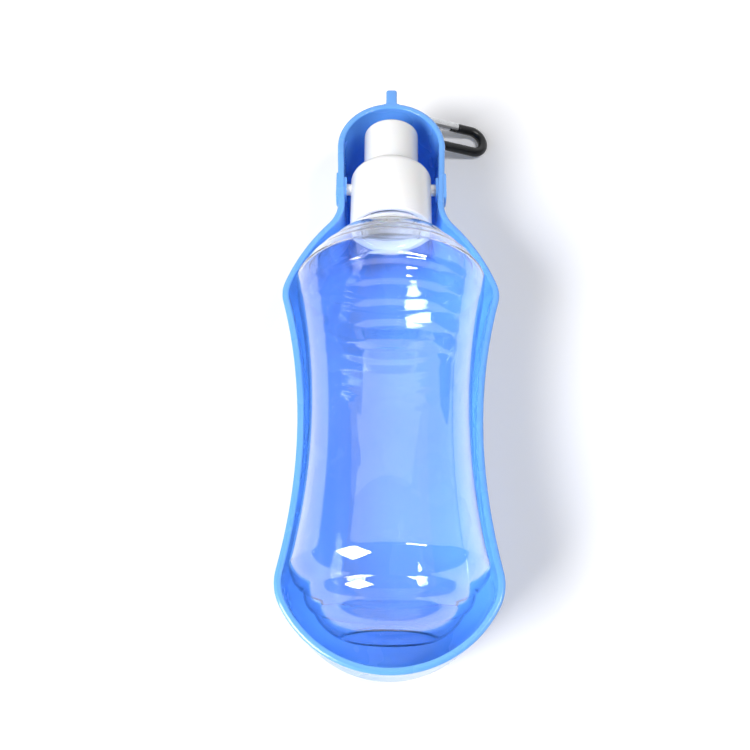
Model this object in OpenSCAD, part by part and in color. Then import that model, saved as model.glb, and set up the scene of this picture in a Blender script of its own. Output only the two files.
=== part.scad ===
// Dog travel water bottle: a clear squeeze bottle whose cap hangs on trunnions
// in a fold-out drinking tray, with a small carabiner on the tray's hang tab.
// The tray lies on its back. +Z is up, +Y points to the nozzle, and the origin
// is the middle of the flat back. Stations along the bottle are distances from
// the pivot on which it folds out.

/* [Bottle] */
// Outside radius of the shoulder ring, the widest place
shoulder_r = 40.2; // [36:0.1:44]
// Outside radius of the waist
waist_r = 32.6; // [30:0.1:35]
// Outside radius of the base ring
base_r = 37.9; // [35:0.1:41]
// Radius of the foot ring
foot_r = 17; // [14:0.5:22]
// Distance from the pivot to the shoulder ring
shoulder_s = 49.2; // [46:0.1:56]
// Distance from the pivot to the waist
waist_s = 117; // [105:1:125]
// Distance from the pivot to the base ring
base_s = 170.2; // [160:0.1:185]
// Height of the bowl between the base ring and the foot
bowl_h = 26.3; // [22:0.1:32]
// How far each of the bowl's three bands bulges
bowl_bulge = 1.2; // [0.6:0.1:1.8]
// Wall of the blown shell
bottle_wall = 0.9; // [0.6:0.05:1.4]
// Outside radius of the neck
neck_r = 13.6; // [12:0.1:14]
// How far the shoulder bulges out of a straight cone
shoulder_bulge = 1.4; // [0.5:0.1:2.5]
// Height of the stepped ribs round the shoulder
rib_h = 0.8; // [0.4:0.1:1.2]
// Height of the band below the shoulder ring
band_h = 8.3; // [6:0.1:10]
// How far the band narrows
band_taper = 0.9; // [0.5:0.1:1.2]
// Height of the squeeze waves under the band
wave_h = 0.6; // [0.3:0.05:0.8]
// Distance between the squeeze waves
wave_pitch = 8.2; // [7:0.1:9]
// Depth of the dimple inside the foot ring
dimple_d = 4; // [2:0.5:6]
// Radius of the moulded circle in the dimple
dimple_ring_r = 8.6; // [6:0.1:10]

/* [Cap] */
// Outside radius of the cap
cap_r = 17.9; // [17.6:0.1:19]
// Wall of the skirt
cap_wall = 2.3; // [1.8:0.1:2.5]
// Distance from the pivot to the open end of the skirt
skirt_s = 21.6; // [20:0.1:23]
// Distance from the pivot to the top of the dome
dome_t = 7.8; // [7:0.1:9]
// Radius of the rounded edge of the dome
dome_round = 4.2; // [2:0.1:5]
// Distance from the pivot to the underside of the deck
deck_t = 1.2; // [0.8:0.1:2]
// Radius of the trunnions
trunnion_r = 2.6; // [2.2:0.1:3]
// Outside radius of the fixed spout inside the nozzle
spout_r = 8.4; // [8:0.1:9]
// Bore radius of the fixed spout
spout_bore_r = 4.9; // [4.5:0.1:5.2]
// Radius of the section of the nozzle seal and the neck seal
seal_r = 0.85; // [0.7:0.05:0.95]
// Thickness of the flat gasket under the deck
gasket_h = 1.8; // [1.2:0.1:2.4]

/* [Nozzle] */
// Outside radius of the nozzle
nozzle_r = 12.2; // [11.6:0.1:12.8]
// Radius of the flange at the foot of the nozzle
flange_r = 13.5; // [13:0.1:13.7]
// Thickness of that flange
flange_h = 1.3; // [0.8:0.1:2]
// Length of the nozzle
nozzle_l = 22.4; // [21.5:0.1:24]
// Thickness of the nozzle's end wall
end_wall = 2.5; // [1.5:0.1:3]
// Radius of the rounded edge at the nozzle's end
nozzle_round = 1.6; // [0.5:0.1:2.5]
// Radius of the outlet
outlet_r = 3.6; // [3.2:0.1:4]
// Travel of the valve plug
plug_travel = 3; // [2:0.1:3.2]

/* [Tray] */
// Thickness of the tray's wall and floor
tray_wall = 2; // [1.6:0.1:2.4]
// How far the lip stands out of the wall
lip_out = 0.8; // [0.4:0.1:1.2]
// Height of the lip
lip_h = 3; // [2:0.5:5]
// Height of the rim above the axis of the bottle
rim_over_axis = 4.5; // [4:0.1:8]
// Half-width of the flat floor
floor_half = 17; // [14:0.5:17.5]
// Gap between the bottle and the tray at the waist
waist_gap = 1.2; // [0.9:0.1:2]
// Gap beside the tray's shoulder corner, where the outline is widest
shoulder_gap = 3.2; // [2.8:0.1:5]
// Gap beside the tray's base corner
base_gap = 2.7; // [2.4:0.1:5]
// Gap between the foot of the bottle and the tray's end wall
end_gap = 9.8; // [8.5:0.1:14]
// Distance that the shoulder corner lies behind the bottle's shoulder ring
shoulder_lag = 5.7; // [4:0.1:7]
// Distance that the base corner lies behind the bottle's base ring
base_lag = 7.4; // [6:0.1:9]
// Gap between the cap and the wall beside the pivot
cap_gap = 2.9; // [2:0.1:3.2]
// Gap between the nozzle's end and the wall of the head
nozzle_gap = 12.2; // [9:0.1:14]
// Half-width of the head at its round end
head_half = 24.3; // [24:0.1:26]
// Distance from the pivot to the neck corner, where the flare starts
neck_s = 16.1; // [15:0.1:18]
// Radius of the hollow corner between the head's side and the flare
neck_round = 16; // [12:0.5:18]
// How far the flare bulges
flare_bulge = 2.9; // [2:0.1:4]
// Radius of the corner between the flare and the side
shoulder_round = 15; // [10:0.5:18]
// Radius of the corner between the side and the tail
base_round = 19; // [12:0.5:22]
// Taper of the walls between the rim and the floor's rounding
draft = 0.6; // [0.3:0.1:1]
// Radius of the pivot bosses
boss_r = 7.6; // [6:0.1:8]
// How far the pivot bosses stand out of the rim
boss_out = 0.8; // [0.5:0.1:2]

/* [Hang tab and carabiner] */
// Thickness of the hang tab
tab_w = 5; // [4:0.1:5.2]
// How far the hang tab stands out of the rim
tab_out = 7.9; // [7.6:0.1:8.3]
// Height of the hang tab
tab_h = 34; // [30:1:36]
// Half-width of the slot in the tab
slot_r = 3.2; // [3.1:0.1:3.3]
// Distance from the rim to the middle of the slot
slot_out = 2.3; // [2.3:0.1:2.5]
// Height of the slot above the tray's back
slot_z = 22.5; // [21:0.5:25]
// Radius of the carabiner's rod
rod_r = 2.3; // [2.1:0.05:2.35]
// Radius of the carabiner's two bends, to the middle of the rod
bend_r = 6.5; // [6.5:0.1:7]
// Length of the straight between the bends
straight_l = 44.8; // [44:0.1:52]
// Angle that the carabiner turns away from the tray
link_yaw = 4.2; // [2:0.1:6]
// Distance from the first bend to the gate's rivet
rivet_u = 11; // [10:0.5:12]
// Length of the gate from its rivet to its free end
gate_l = 26.3; // [24:0.1:27]
// Radius of the gate's rivet
rivet_r = 0.9; // [0.7:0.05:1]

/* [Fits] */
// Clearance round a pin or a rivet
pin_clear = 0.05; // [0.03:0.01:0.1]
// Clearance between pieces that move past each other
run_clear = 0.3; // [0.25:0.05:0.4]
// Clearance round a seal that sits in its own groove
seat_clear = 0.05; // [0.03:0.01:0.1]

/* [Hidden] */
$fn = 64;

tray_blue = [0.32, 0.62, 0.97];
clear_grey = [0.85, 0.9, 0.95, 0.4];
cap_white = [0.94, 0.94, 0.95];
seal_grey = [0.75, 0.77, 0.78];
rod_black = [0.08, 0.08, 0.09];
bare_metal = [0.75, 0.76, 0.78];

rim_band = tray_wall + lip_out;
axis_z = tray_wall + run_clear + max(shoulder_r, base_r);
rim_z = axis_z + rim_over_axis;
foot_s = base_s + bowl_h;
nozzle_tip = dome_t + run_clear + nozzle_l;
head_reach = nozzle_tip + nozzle_gap + rim_band;
tail_reach = foot_s + end_gap + rim_band;
pivot_y = (tail_reach - head_reach) / 2;
head_end = pivot_y + head_reach;
tail_end = pivot_y - tail_reach;

// Unit vector, and the point on a circle at an angle
function unit(v) = v / norm(v);
function on_circle(c, r, a) = c + r * [cos(a), sin(a)];

// Shortest turn from angle a to angle b
function turn(a, b) = let (d = b - a) d > 180 ? d - 360 : d < -180 ? d + 360 : d;

// Arc from a to b round the centre c, with both ends, in n steps
function arc_about(c, a, b, n) =
    let (r = norm(a - c), start = atan2(a[1] - c[1], a[0] - c[0]), end = atan2(b[1] - c[1], b[0] - c[0]))
    [for (i = [0:n]) on_circle(c, r, start + turn(start, end) * i / n)];

// The direction a quarter turn to the left of a direction
function left_of(v) = [-v[1], v[0]];

// Arc from a to b that bulges by sag to the right of the way from a to b
function arc_bulge(a, b, sag, n) =
    let (half = norm(b - a) / 2, r = (half * half + sag * sag) / (2 * sag))
    arc_about((a + b) / 2 + left_of(unit(b - a)) * (r - sag), a, b, n);

// Middle of the circle through three points, and the arc from a to b through m
function centre_of(a, m, b) =
    let (d = 2 * (a[0] * (m[1] - b[1]) + m[0] * (b[1] - a[1]) + b[0] * (a[1] - m[1])),
        aa = a * a, mm = m * m, bb = b * b)
    [(aa * (m[1] - b[1]) + mm * (b[1] - a[1]) + bb * (a[1] - m[1])) / d,
        (aa * (b[0] - m[0]) + mm * (a[0] - b[0]) + bb * (m[0] - a[0])) / d];
function arc_through(a, m, b, n) = arc_about(centre_of(a, m, b), a, b, n);

// Where circles round a and b of radii ra and rb meet, on the left of the way from a to b
function meeting(a, ra, b, rb) =
    let (d = norm(b - a), along = (ra * ra - rb * rb + d * d) / (2 * d), way = unit(b - a))
    a + way * along + left_of(way) * sqrt(ra * ra - along * along);

function after_first(list) = [for (i = [1:len(list) - 1]) list[i]];

// Normals to the left of an open path, and the path moved to the left
function path_normal(p, i) = left_of(unit(p[min(i + 1, len(p) - 1)] - p[max(i - 1, 0)]));
function moved_path(p, d) = [for (i = [0:len(p) - 1]) p[i] + path_normal(p, i) * d];

// Normals out of a closed outline that runs clockwise
function loop_normal(p, i) = left_of(unit(p[(i + 1) % len(p)] - p[(i + len(p) - 1) % len(p)]));

// Puts a shape made round the Z axis on the axis of the bottle, with the pivot at zero
module on_axis() {
    translate([0, pivot_y, axis_z])
        rotate([-90, 0, 0])
            children();
}

// Puts a shape made in the carabiner's plane in its place: X along it, Y across it. It leans
// from the slot down to the table.
link_y = head_end + slot_out + bend_r;
tip_u = straight_l + bend_r;
floor_touch = 0.1;
link_tilt = asin((slot_z - rod_r - floor_touch) / tip_u);
module on_link() {
    translate([0, link_y, slot_z])
        rotate([0, link_tilt, link_yaw])
            children();
}

// Tray
pivot_half = cap_r + cap_gap + rim_band;
head_c = [0, head_end - head_half];
taper = (head_half - pivot_half) / (head_c[1] - pivot_y);
neck_corner = [pivot_half - taper * neck_s, pivot_y - neck_s];
shoulder_corner = [shoulder_r + shoulder_gap + rim_band, pivot_y - shoulder_s - shoulder_lag];
waist_point = [waist_r + waist_gap + rim_band, pivot_y - waist_s];
base_corner = [base_r + base_gap + rim_band, pivot_y - base_s - base_lag];
tail_drop = base_corner[1] - tail_end;
tail_r = (base_corner[0] * base_corner[0] + tail_drop * tail_drop) / (2 * tail_drop);
tail_c = [0, tail_end + tail_r];

// Circles of the flare, which bulges out, and of the side, which is drawn in at the waist
flare_chord = norm(shoulder_corner - neck_corner) / 2;
flare_way = unit(shoulder_corner - neck_corner);
flare_r = (flare_chord * flare_chord + flare_bulge * flare_bulge) / (2 * flare_bulge);
flare_c = (neck_corner + shoulder_corner) / 2 + left_of(flare_way) * (flare_bulge - flare_r);
side_c = centre_of(shoulder_corner, waist_point, base_corner);
side_r = norm(waist_point - side_c);

// Middles of the three corner arcs, which touch the curves on both sides
head_way = unit(neck_corner - head_c - [head_half, 0]);
neck_line = head_c + [head_half, 0] + left_of(head_way) * neck_round;
neck_along = (flare_c - neck_line) * head_way;
neck_off = norm(flare_c - neck_line - neck_along * head_way);
neck_arc_c = neck_line
    + head_way * (neck_along - sqrt(pow(flare_r + neck_round, 2) - neck_off * neck_off));
shoulder_arc_c = meeting(flare_c, flare_r - shoulder_round, side_c, side_r + shoulder_round);
base_arc_c = meeting(side_c, side_r + base_round, tail_c, tail_r - base_round);
neck_start = neck_arc_c - left_of(head_way) * neck_round;
flare_start = neck_arc_c + unit(flare_c - neck_arc_c) * neck_round;
flare_end = shoulder_arc_c + unit(shoulder_arc_c - flare_c) * shoulder_round;
side_start = shoulder_arc_c + unit(side_c - shoulder_arc_c) * shoulder_round;
side_end = base_arc_c + unit(side_c - base_arc_c) * base_round;
tail_start = base_arc_c + unit(base_arc_c - tail_c) * base_round;

// Right half of the rim's outline, from the head's end to the tail's end
half_rim = concat([for (a = [90:-9:0]) on_circle(head_c, head_half, a)],
    arc_about(neck_arc_c, neck_start, flare_start, 5),
    after_first(arc_about(flare_c, flare_start, flare_end, 6)),
    after_first(arc_about(shoulder_arc_c, flare_end, side_start, 5)),
    after_first(arc_about(side_c, side_start, side_end, 14)),
    after_first(arc_about(base_arc_c, side_end, tail_start, 8)),
    after_first(arc_about(tail_c, tail_start, [0, tail_end], 8)));
rim = concat(half_rim, [for (i = [len(half_rim) - 2:-1:1]) [-half_rim[i][0], half_rim[i][1]]]);
rim_normals = [for (i = [0:len(rim) - 1]) loop_normal(rim, i)];

// Edge of the flat floor: straight sides and round ends, one point for each rim point
function floor_point(p) =
    p[1] > head_c[1] ? head_c + unit(p - head_c) * floor_half
    : p[1] < base_corner[1] ? [0, base_corner[1]] + unit(p - [0, base_corner[1]]) * floor_half
    : [sign(p[0]) * floor_half, p[1]];
floor_edge = [for (p = rim) floor_point(p)];

// A ring of points at one height, moved in from the rim
function wall_ring(inset, z) =
    [for (i = [0:len(rim) - 1]) let (p = rim[i] - rim_normals[i] * inset) [p[0], p[1], z]];

// A ring on the rounding between wall and floor; a runs from 0 at the wall to 90 at the floor
rounding_ratio = 1.3;
function rounding_ring(inset, z, a) =
    [for (i = [0:len(rim) - 1])
        let (p = rim[i] - rim_normals[i] * inset, reach = p - floor_edge[i],
            high = min(norm(reach) * rounding_ratio, rim_z - lip_h - 2 * tray_wall),
            q = floor_edge[i] + reach * cos(a))
        [q[0], q[1], z + high * (1 - sin(a))]];

rim_soft = 0.5;
tray_rings = concat(
    [for (a = [90:-15:0]) rounding_ring(rim_band + draft, tray_wall, a)],
    [wall_ring(rim_band, rim_z - rim_soft), wall_ring(rim_band - rim_soft, rim_z),
        wall_ring(rim_soft, rim_z), wall_ring(0, rim_z - rim_soft), wall_ring(0, rim_z - lip_h),
        wall_ring(lip_out, rim_z - lip_h - lip_out / 2)],
    [for (a = [0:15:90]) rounding_ring(lip_out + draft, 0, a)]);

// Strips across a flat ring that is symmetrical about X = 0, from its first point
// to its middle one, as faces of points counted from start
function flat_faces(n, start) =
    [for (i = [0:n / 2 - 1])
        [for (k = i == 0 ? [0, 1, n - 1] : i == n / 2 - 1 ? [i, i + 1, i + 2] : [i, i + 1, n - i - 1, n - i])
            start + k]];
function turned(faces) = [for (f = faces) [for (i = [len(f) - 1:-1:0]) f[i]]];

// Joins rings of n points each into one closed solid
module ring_solid(rings) {
    n = len(rings[0]);
    last = len(rings) - 1;
    polyhedron(
        points = [for (r = rings) each r],
        faces = concat(
            flat_faces(n, 0),
            [for (k = [0:last - 1], i = [0:n - 1])
                [k * n + i, (k + 1) * n + i, (k + 1) * n + (i + 1) % n, k * n + (i + 1) % n]],
            turned(flat_faces(n, last * n))),
        convexity = 4);
}

trunnion_sunk = 0.5;
trunnion_end = pivot_half + boss_out - trunnion_sunk;
module pivot_boss() {
    intersection() {
        translate([pivot_half - tray_wall, pivot_y, axis_z])
            rotate([0, 90, 0])
                cylinder(r = boss_r, h = tray_wall + boss_out);
        translate([0, pivot_y - boss_r, 0])
            cube([pivot_half + 2 * boss_out, 2 * boss_r, rim_z]);
    }
}

tab_round = 1.2;
tab_root = head_end - rim_band / 2;
module tab_outline() {
    tab_tip = head_end + tab_out;
    tab_low = rim_z - tab_h;
    translate([tab_root, tab_low])
        square([tab_tip - tab_round - tab_root, tab_h]);
    translate([tab_root, tab_low + tab_round])
        square([tab_tip - tab_root, tab_h - 2 * tab_round]);
    for (z = [tab_low + tab_round, rim_z - tab_round])
        translate([tab_tip - tab_round, z])
            circle(r = tab_round);
}

slot_rise = 2.2;
module slot_outline() {
    for (z = [-slot_rise, slot_rise])
        translate([head_end + slot_out, slot_z + z])
            circle(r = slot_r);
    translate([head_end + slot_out - slot_r, slot_z - slot_rise])
        square([2 * slot_r, 2 * slot_rise]);
}

// Extrudes an outline drawn in the Y and Z directions across the middle of the part
module across_x(width) {
    translate([-width / 2, 0, 0])
        rotate([90, 0, 90])
            linear_extrude(width)
                children();
}

// The slot's mouths slant outwards, so that the carabiner's bend can pass
slot_slant = 0.9;
module slot_mouth() {
    hull() {
        across_x(2 * (tab_w / 2 - slot_slant))
            slot_outline();
        translate([0, 2 * slot_slant, 0])
            across_x(tab_w + 2 * slot_slant)
                slot_outline();
    }
}

module tray_shell() {
    color(tray_blue)
        difference() {
            union() {
                ring_solid(tray_rings);
                pivot_boss();
                mirror([1, 0, 0])
                    pivot_boss();
                across_x(tab_w)
                    tab_outline();
            }
            translate([-head_half - tray_wall, pivot_y, axis_z])
                rotate([0, 90, 0])
                    cylinder(r = trunnion_r + pin_clear, h = 2 * (head_half + tray_wall));
            across_x(2 * tab_w)
                slot_outline();
            slot_mouth();
        }
}

// Bottle: outline from the mouth to the middle of the dimple, as radius and station
mouth_t = deck_t - gasket_h - run_clear;
neck_flange = 3;
shoulder_start = [neck_r + neck_flange, skirt_s + 3 * run_clear];
neck_end_s = shoulder_start[1] - bottle_wall - seat_clear;
shoulder_ring = [shoulder_r, shoulder_s];
seal_above_skirt = 5;
seal_s = skirt_s - seal_above_skirt;
groove_d = run_clear;

// Three of the steps of the shoulder's curve carry a rib
shoulder_steps = 20;
rib_steps = [7, 12, 15];
rib_half = 0.25;
shoulder_curve = arc_bulge(shoulder_start, shoulder_ring, shoulder_bulge, shoulder_steps);
rib_points = [for (k = [0:shoulder_steps])
    let (p = shoulder_curve[k])
    each (len([for (rib = rib_steps) if (rib == k) rib]) > 0
        ? [p - [rib_h / 2, rib_half], p + [rib_h / 2, -rib_half]] : [p])];

// The band under the shoulder ring ends in a crease, the first valley of the squeeze waves,
// and the last wave runs out into the smooth waist
band_end = shoulder_ring + [-band_taper, band_h];
wave_count = 4;
wave_steps = 6;
crease_s = band_end[1] + wave_h;
waves_end = crease_s + (wave_count + 0.5) * wave_pitch;
function side_r_at(s) =
    let (c = centre_of(band_end, [waist_r, waist_s], [base_r, base_s]), r = norm(band_end - c))
    c[0] - sqrt(r * r - (s - c[1]) * (s - c[1]));
waves = [for (k = [0:(wave_count + 0.5) * wave_steps])
    let (s = crease_s + k * wave_pitch / wave_steps)
    [side_r_at(s) - wave_h * pow(cos(180 * k / wave_steps), 2), s]];
lower_steps = 14;
lower_side = [for (k = [1:lower_steps])
    let (s = waves_end + k * (base_s - waves_end) / lower_steps)
    [side_r_at(s), s]];

// Two grooves part the bowl into three bands
groove_radii = [0.71, 0.51];
groove_heights = [0.365, 0.646];
foot_round = 1.6;
bowl_knots = concat([[base_r, base_s]],
    [for (i = [0, 1]) [foot_r + (base_r - foot_r) * groove_radii[i], base_s + bowl_h * groove_heights[i]]],
    [[foot_r + foot_round, foot_s - foot_round / 2]]);
bowl = [for (i = [0:2]) each after_first(arc_bulge(bowl_knots[i], bowl_knots[i + 1], bowl_bulge, 5))];
ring_share = 0.7;
dimple_edge = [foot_r - foot_round, foot_s - foot_round / 2];
dimple = arc_through(dimple_edge, [dimple_ring_r, foot_s - dimple_d * ring_share],
    [-dimple_edge[0], dimple_edge[1]], 16);
outer_shell = concat(
    [[neck_r, -mouth_t], [neck_r, seal_s - seal_r], [neck_r - groove_d, seal_s - seal_r + groove_d],
        [neck_r - groove_d, seal_s + seal_r - groove_d], [neck_r, seal_s + seal_r],
        [neck_r, neck_end_s]],
    rib_points, [band_end], waves, lower_side, bowl,
    [[foot_r, foot_s]],
    [for (p = dimple) if (p[0] > bottle_wall) p],
    [[0, foot_s - dimple_d]]);
inner_shell = [for (p = moved_path(outer_shell, bottle_wall)) [max(p[0], 0), p[1]]];

module bottle_shell() {
    color(clear_grey)
        on_axis()
            rotate_extrude($fn = 96)
                polygon([for (p = concat(outer_shell, [for (i = [len(inner_shell) - 1:-1:0]) inner_shell[i]]))
                    [p[0], -p[1]]]);
}

// Round seal of circular section
module ring_seal(ring_r, t) {
    translate([0, 0, t])
        rotate_extrude()
            translate([ring_r, 0])
                circle(r = seal_r, $fn = 24);
}

module neck_seal() {
    color(seal_grey)
        on_axis()
            ring_seal(neck_r - groove_d + run_clear + seal_r, -seal_s);
}

// Places of the valve plug's disc and seal. The spout ends where the open plug's disc stops.
end_in = nozzle_tip - end_wall;
plug_seal_h = 3.4;
disc_h = 1.6;
disc_t = end_in - run_clear - plug_seal_h - disc_h;
spout_t = disc_t - plug_travel - run_clear;

// Cap
skirt_in = cap_r - cap_wall;
groove_r = spout_r - 2 * seal_r - seat_clear;
nozzle_seal_t = (dome_t + spout_t) / 2;
dome_points = arc_about([cap_r - dome_round, dome_t - dome_round], [cap_r, dome_t - dome_round],
    [cap_r - dome_round, dome_t], 8);
module cap_profile() {
    polygon(concat(
        [[skirt_in, -skirt_s], [cap_r, -skirt_s]],
        dome_points,
        [[spout_r, dome_t], [spout_r, nozzle_seal_t - seal_r - seat_clear],
            [groove_r, nozzle_seal_t - seal_r - seat_clear], [groove_r, nozzle_seal_t + seal_r + seat_clear],
            [spout_r, nozzle_seal_t + seal_r + seat_clear], [spout_r, spout_t],
            [spout_bore_r, spout_t], [spout_bore_r, deck_t], [skirt_in, deck_t]]));
}

module cap_body() {
    color(cap_white) {
        on_axis()
            rotate_extrude($fn = 96)
                cap_profile();
        for (side = [-1, 1])
            translate([side > 0 ? cap_r - cap_wall / 2 : -trunnion_end, pivot_y, axis_z])
                rotate([0, 90, 0])
                    cylinder(r = trunnion_r, h = trunnion_end - cap_r + cap_wall / 2);
    }
}

gasket_hole_r = spout_bore_r + 3;
module neck_gasket() {
    color(seal_grey)
        on_axis()
            translate([0, 0, deck_t - gasket_h])
                difference() {
                    cylinder(r = skirt_in - run_clear, h = gasket_h);
                    translate([0, 0, -1])
                        cylinder(r = gasket_hole_r, h = gasket_h + 2);
                }
}

module nozzle_seal() {
    color(seal_grey)
        on_axis()
            ring_seal(groove_r + seat_clear + seal_r, nozzle_seal_t);
}

// Nozzle
sleeve_t = dome_t + run_clear;
sleeve_bore = spout_r + run_clear + seat_clear;
tip_points = arc_about([nozzle_r - nozzle_round, nozzle_tip - nozzle_round],
    [nozzle_r, nozzle_tip - nozzle_round], [nozzle_r - nozzle_round, nozzle_tip], 6);
outlet_flare = 0.6;
module nozzle_sleeve() {
    color(cap_white)
        on_axis()
            rotate_extrude($fn = 96)
                polygon(concat(
                    [[sleeve_bore, sleeve_t], [flange_r, sleeve_t], [flange_r, sleeve_t + flange_h],
                        [nozzle_r, sleeve_t + flange_h]],
                    tip_points,
                    [[outlet_r + outlet_flare, nozzle_tip], [outlet_r, nozzle_tip - outlet_flare],
                        [outlet_r, end_in], [sleeve_bore, end_in]]));
}

// Valve plug: a fluted stem, a disc that carries the seal, and a nose in the outlet
stem_r = spout_bore_r - run_clear;
stem_l = 12.6;
nose_r = outlet_r - run_clear;
nose_sunk = 0.7;
disc_r = 6.2;
disc_lip = 0.2;
flute_w = 3;
module valve_plug() {
    color(cap_white)
        on_axis() {
            difference() {
                translate([0, 0, disc_t - stem_l])
                    cylinder(r = stem_r, h = stem_l);
                for (a = [0:120:240])
                    rotate([0, 0, a])
                        translate([stem_r / 2, -flute_w / 2, disc_t - stem_l - 1])
                            cube([stem_r, flute_w, stem_l]);
            }
            translate([0, 0, disc_t])
                cylinder(r = disc_r, h = disc_h);
            translate([0, 0, disc_t])
                cylinder(r = nose_r, h = nozzle_tip - nose_sunk - disc_t);
        }
}

module plug_seal() {
    color(seal_grey)
        on_axis()
            translate([0, 0, disc_t + disc_h])
                difference() {
                    cylinder(r = disc_r - disc_lip, h = plug_seal_h);
                    translate([0, 0, -1])
                        cylinder(r = nose_r + seat_clear, h = plug_seal_h + 2);
                }
}

// Carabiner
tang_half = rod_r / 3;
tang_high = 0.65 * rod_r;
tang_past = 1.8;
nose_past = 1.6;
gate_behind = 1.8;
gate_from = rivet_u - gate_behind;
gate_to = rivet_u + gate_l;
stub_end = rivet_u - norm([gate_behind, rod_r]) - 2 * run_clear;
hinge_slot = 3.6;
nose_slot = 4.4;
pin_u = gate_to - gate_behind;
pin_r = 0.6;

// A rod of the carabiner from one place to another on one of its two sides
module link_rod(from, to, side) {
    translate([from, side * bend_r, 0])
        rotate([0, 90, 0])
            cylinder(r = rod_r, h = to - from, $fn = 32);
}

module link_bend(at, start) {
    translate([at, 0, 0])
        rotate([0, 0, start])
            rotate_extrude(angle = 180, $fn = 64)
                translate([bend_r, 0])
                    circle(r = rod_r, $fn = 32);
}

// A flat tang in the plane of the carabiner, in the middle of the gate's side
module tang(from, to, half) {
    translate([from, bend_r - tang_high, -half])
        cube([to - from, 2 * tang_high, 2 * half]);
}

module carabiner_frame() {
    color(rod_black)
        on_link() {
            link_bend(0, 90);
            link_bend(straight_l, -90);
            link_rod(0, straight_l, -1);
            link_rod(0, stub_end, 1);
            link_rod(rivet_u + norm([gate_l, rod_r]) + run_clear, straight_l, 1);
            difference() {
                tang(stub_end - 1, rivet_u + tang_past, tang_half);
                translate([rivet_u, bend_r, -rod_r])
                    cylinder(r = rivet_r + pin_clear, h = 2 * rod_r, $fn = 32);
            }
            difference() {
                tang(pin_u - nose_past, gate_to + 1, tang_half);
                translate([pin_u - pin_r - run_clear, bend_r - 2 * tang_high, -rod_r])
                    cube([2 * (pin_r + run_clear), 2 * tang_high + pin_r + run_clear, 2 * rod_r]);
            }
        }
}

gate_bore = 0.6 * rod_r;
module gate_tube() {
    color(bare_metal)
        on_link()
            difference() {
                link_rod(gate_from, gate_to, 1);
                translate([gate_from - 1, bend_r, 0])
                    rotate([0, 90, 0])
                        cylinder(r = gate_bore, h = gate_to - gate_from + 2, $fn = 32);
                for (span = [[gate_from - 1, rivet_u + hinge_slot], [gate_to - nose_slot, gate_to + 1]])
                    translate([span[0], bend_r - 2 * rod_r, -tang_half - run_clear])
                        cube([span[1] - span[0], 4 * rod_r, 2 * (tang_half + run_clear)]);
                translate([rivet_u, bend_r, -2 * rod_r])
                    cylinder(r = rivet_r + pin_clear, h = 4 * rod_r, $fn = 32);
                translate([pin_u, bend_r, -2 * rod_r])
                    cylinder(r = pin_r + seat_clear, h = 4 * rod_r, $fn = 32);
            }
}

rivet_head_h = 0.3;
rivet_head_r = 1.4 * rivet_r;
module gate_rivet() {
    color(bare_metal)
        on_link()
            translate([rivet_u, bend_r, 0]) {
                cylinder(r = rivet_r, h = 2 * (rod_r + pin_clear), center = true, $fn = 32);
                for (side = [-1, 1])
                    translate([0, 0, side * (rod_r + pin_clear + rivet_head_h / 2)])
                        cylinder(r = rivet_head_r, h = rivet_head_h, center = true, $fn = 32);
            }
}

pin_sunk = 0.2;
module latch_pin() {
    color(bare_metal)
        on_link()
            translate([pin_u, bend_r, 0])
                cylinder(r = pin_r, h = 2 * (rod_r - pin_sunk), center = true, $fn = 32);
}

// Spring in the gate's bore, which pushes on the frame's tang: a row of turns
spring_wire = 0.3;
spring_turns = 9;
spring_r = gate_bore - run_clear / 2;
module gate_spring() {
    color(bare_metal)
        on_link()
            translate([rivet_u + norm([tang_past, tang_high]) + run_clear, bend_r, 0])
                rotate([0, 90, 0])
                    rotate_extrude($fn = 32)
                        polygon(concat(
                            [[spring_r - 2 * spring_wire, spring_turns * 2 * spring_wire],
                                [spring_r - 2 * spring_wire, 0]],
                            [for (i = [0:2 * spring_turns])
                                [spring_r - (i % 2 == 0 ? spring_wire : 0), i * spring_wire]]));
}

tray_shell();
bottle_shell();
neck_seal();
cap_body();
neck_gasket();
nozzle_seal();
nozzle_sleeve();
valve_plug();
plug_seal();
carabiner_frame();
gate_tube();
gate_rivet();
latch_pin();
gate_spring();
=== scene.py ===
"""Looks of a dog travel water bottle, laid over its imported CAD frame.

A clear squeeze bottle hangs by its white cap in a blue drinking tray. The tray
lies on its back on white paper, with a small carabiner on its hang tab. All
sizes in the dataclasses are millimetres in the frame of the CAD model: +Z up,
+Y towards the nozzle, the origin in the middle of the tray's flat back.
Stations along the bottle are distances from the pivot on which it folds out.
"""

import logging
from dataclasses import dataclass
from enum import Enum

import bmesh
import bpy
import numpy as np
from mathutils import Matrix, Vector


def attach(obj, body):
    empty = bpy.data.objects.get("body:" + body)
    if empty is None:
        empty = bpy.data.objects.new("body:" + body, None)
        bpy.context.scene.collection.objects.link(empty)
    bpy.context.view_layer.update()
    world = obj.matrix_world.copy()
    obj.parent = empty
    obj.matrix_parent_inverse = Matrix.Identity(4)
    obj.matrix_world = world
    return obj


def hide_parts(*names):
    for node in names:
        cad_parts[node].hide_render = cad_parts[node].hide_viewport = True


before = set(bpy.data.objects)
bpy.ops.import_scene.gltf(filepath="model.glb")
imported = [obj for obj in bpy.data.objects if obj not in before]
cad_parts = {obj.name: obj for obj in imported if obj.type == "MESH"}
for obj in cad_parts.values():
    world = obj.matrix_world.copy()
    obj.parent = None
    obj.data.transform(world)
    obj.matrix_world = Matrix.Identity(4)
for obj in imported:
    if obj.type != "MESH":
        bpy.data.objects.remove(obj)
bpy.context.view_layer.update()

MM = 0.001
MIDDLE = (0.3, 0.7)  # Middle range of a noise, which nearly all of its values lie in.
LOG = logging.getLogger("water_bottle")


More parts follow.
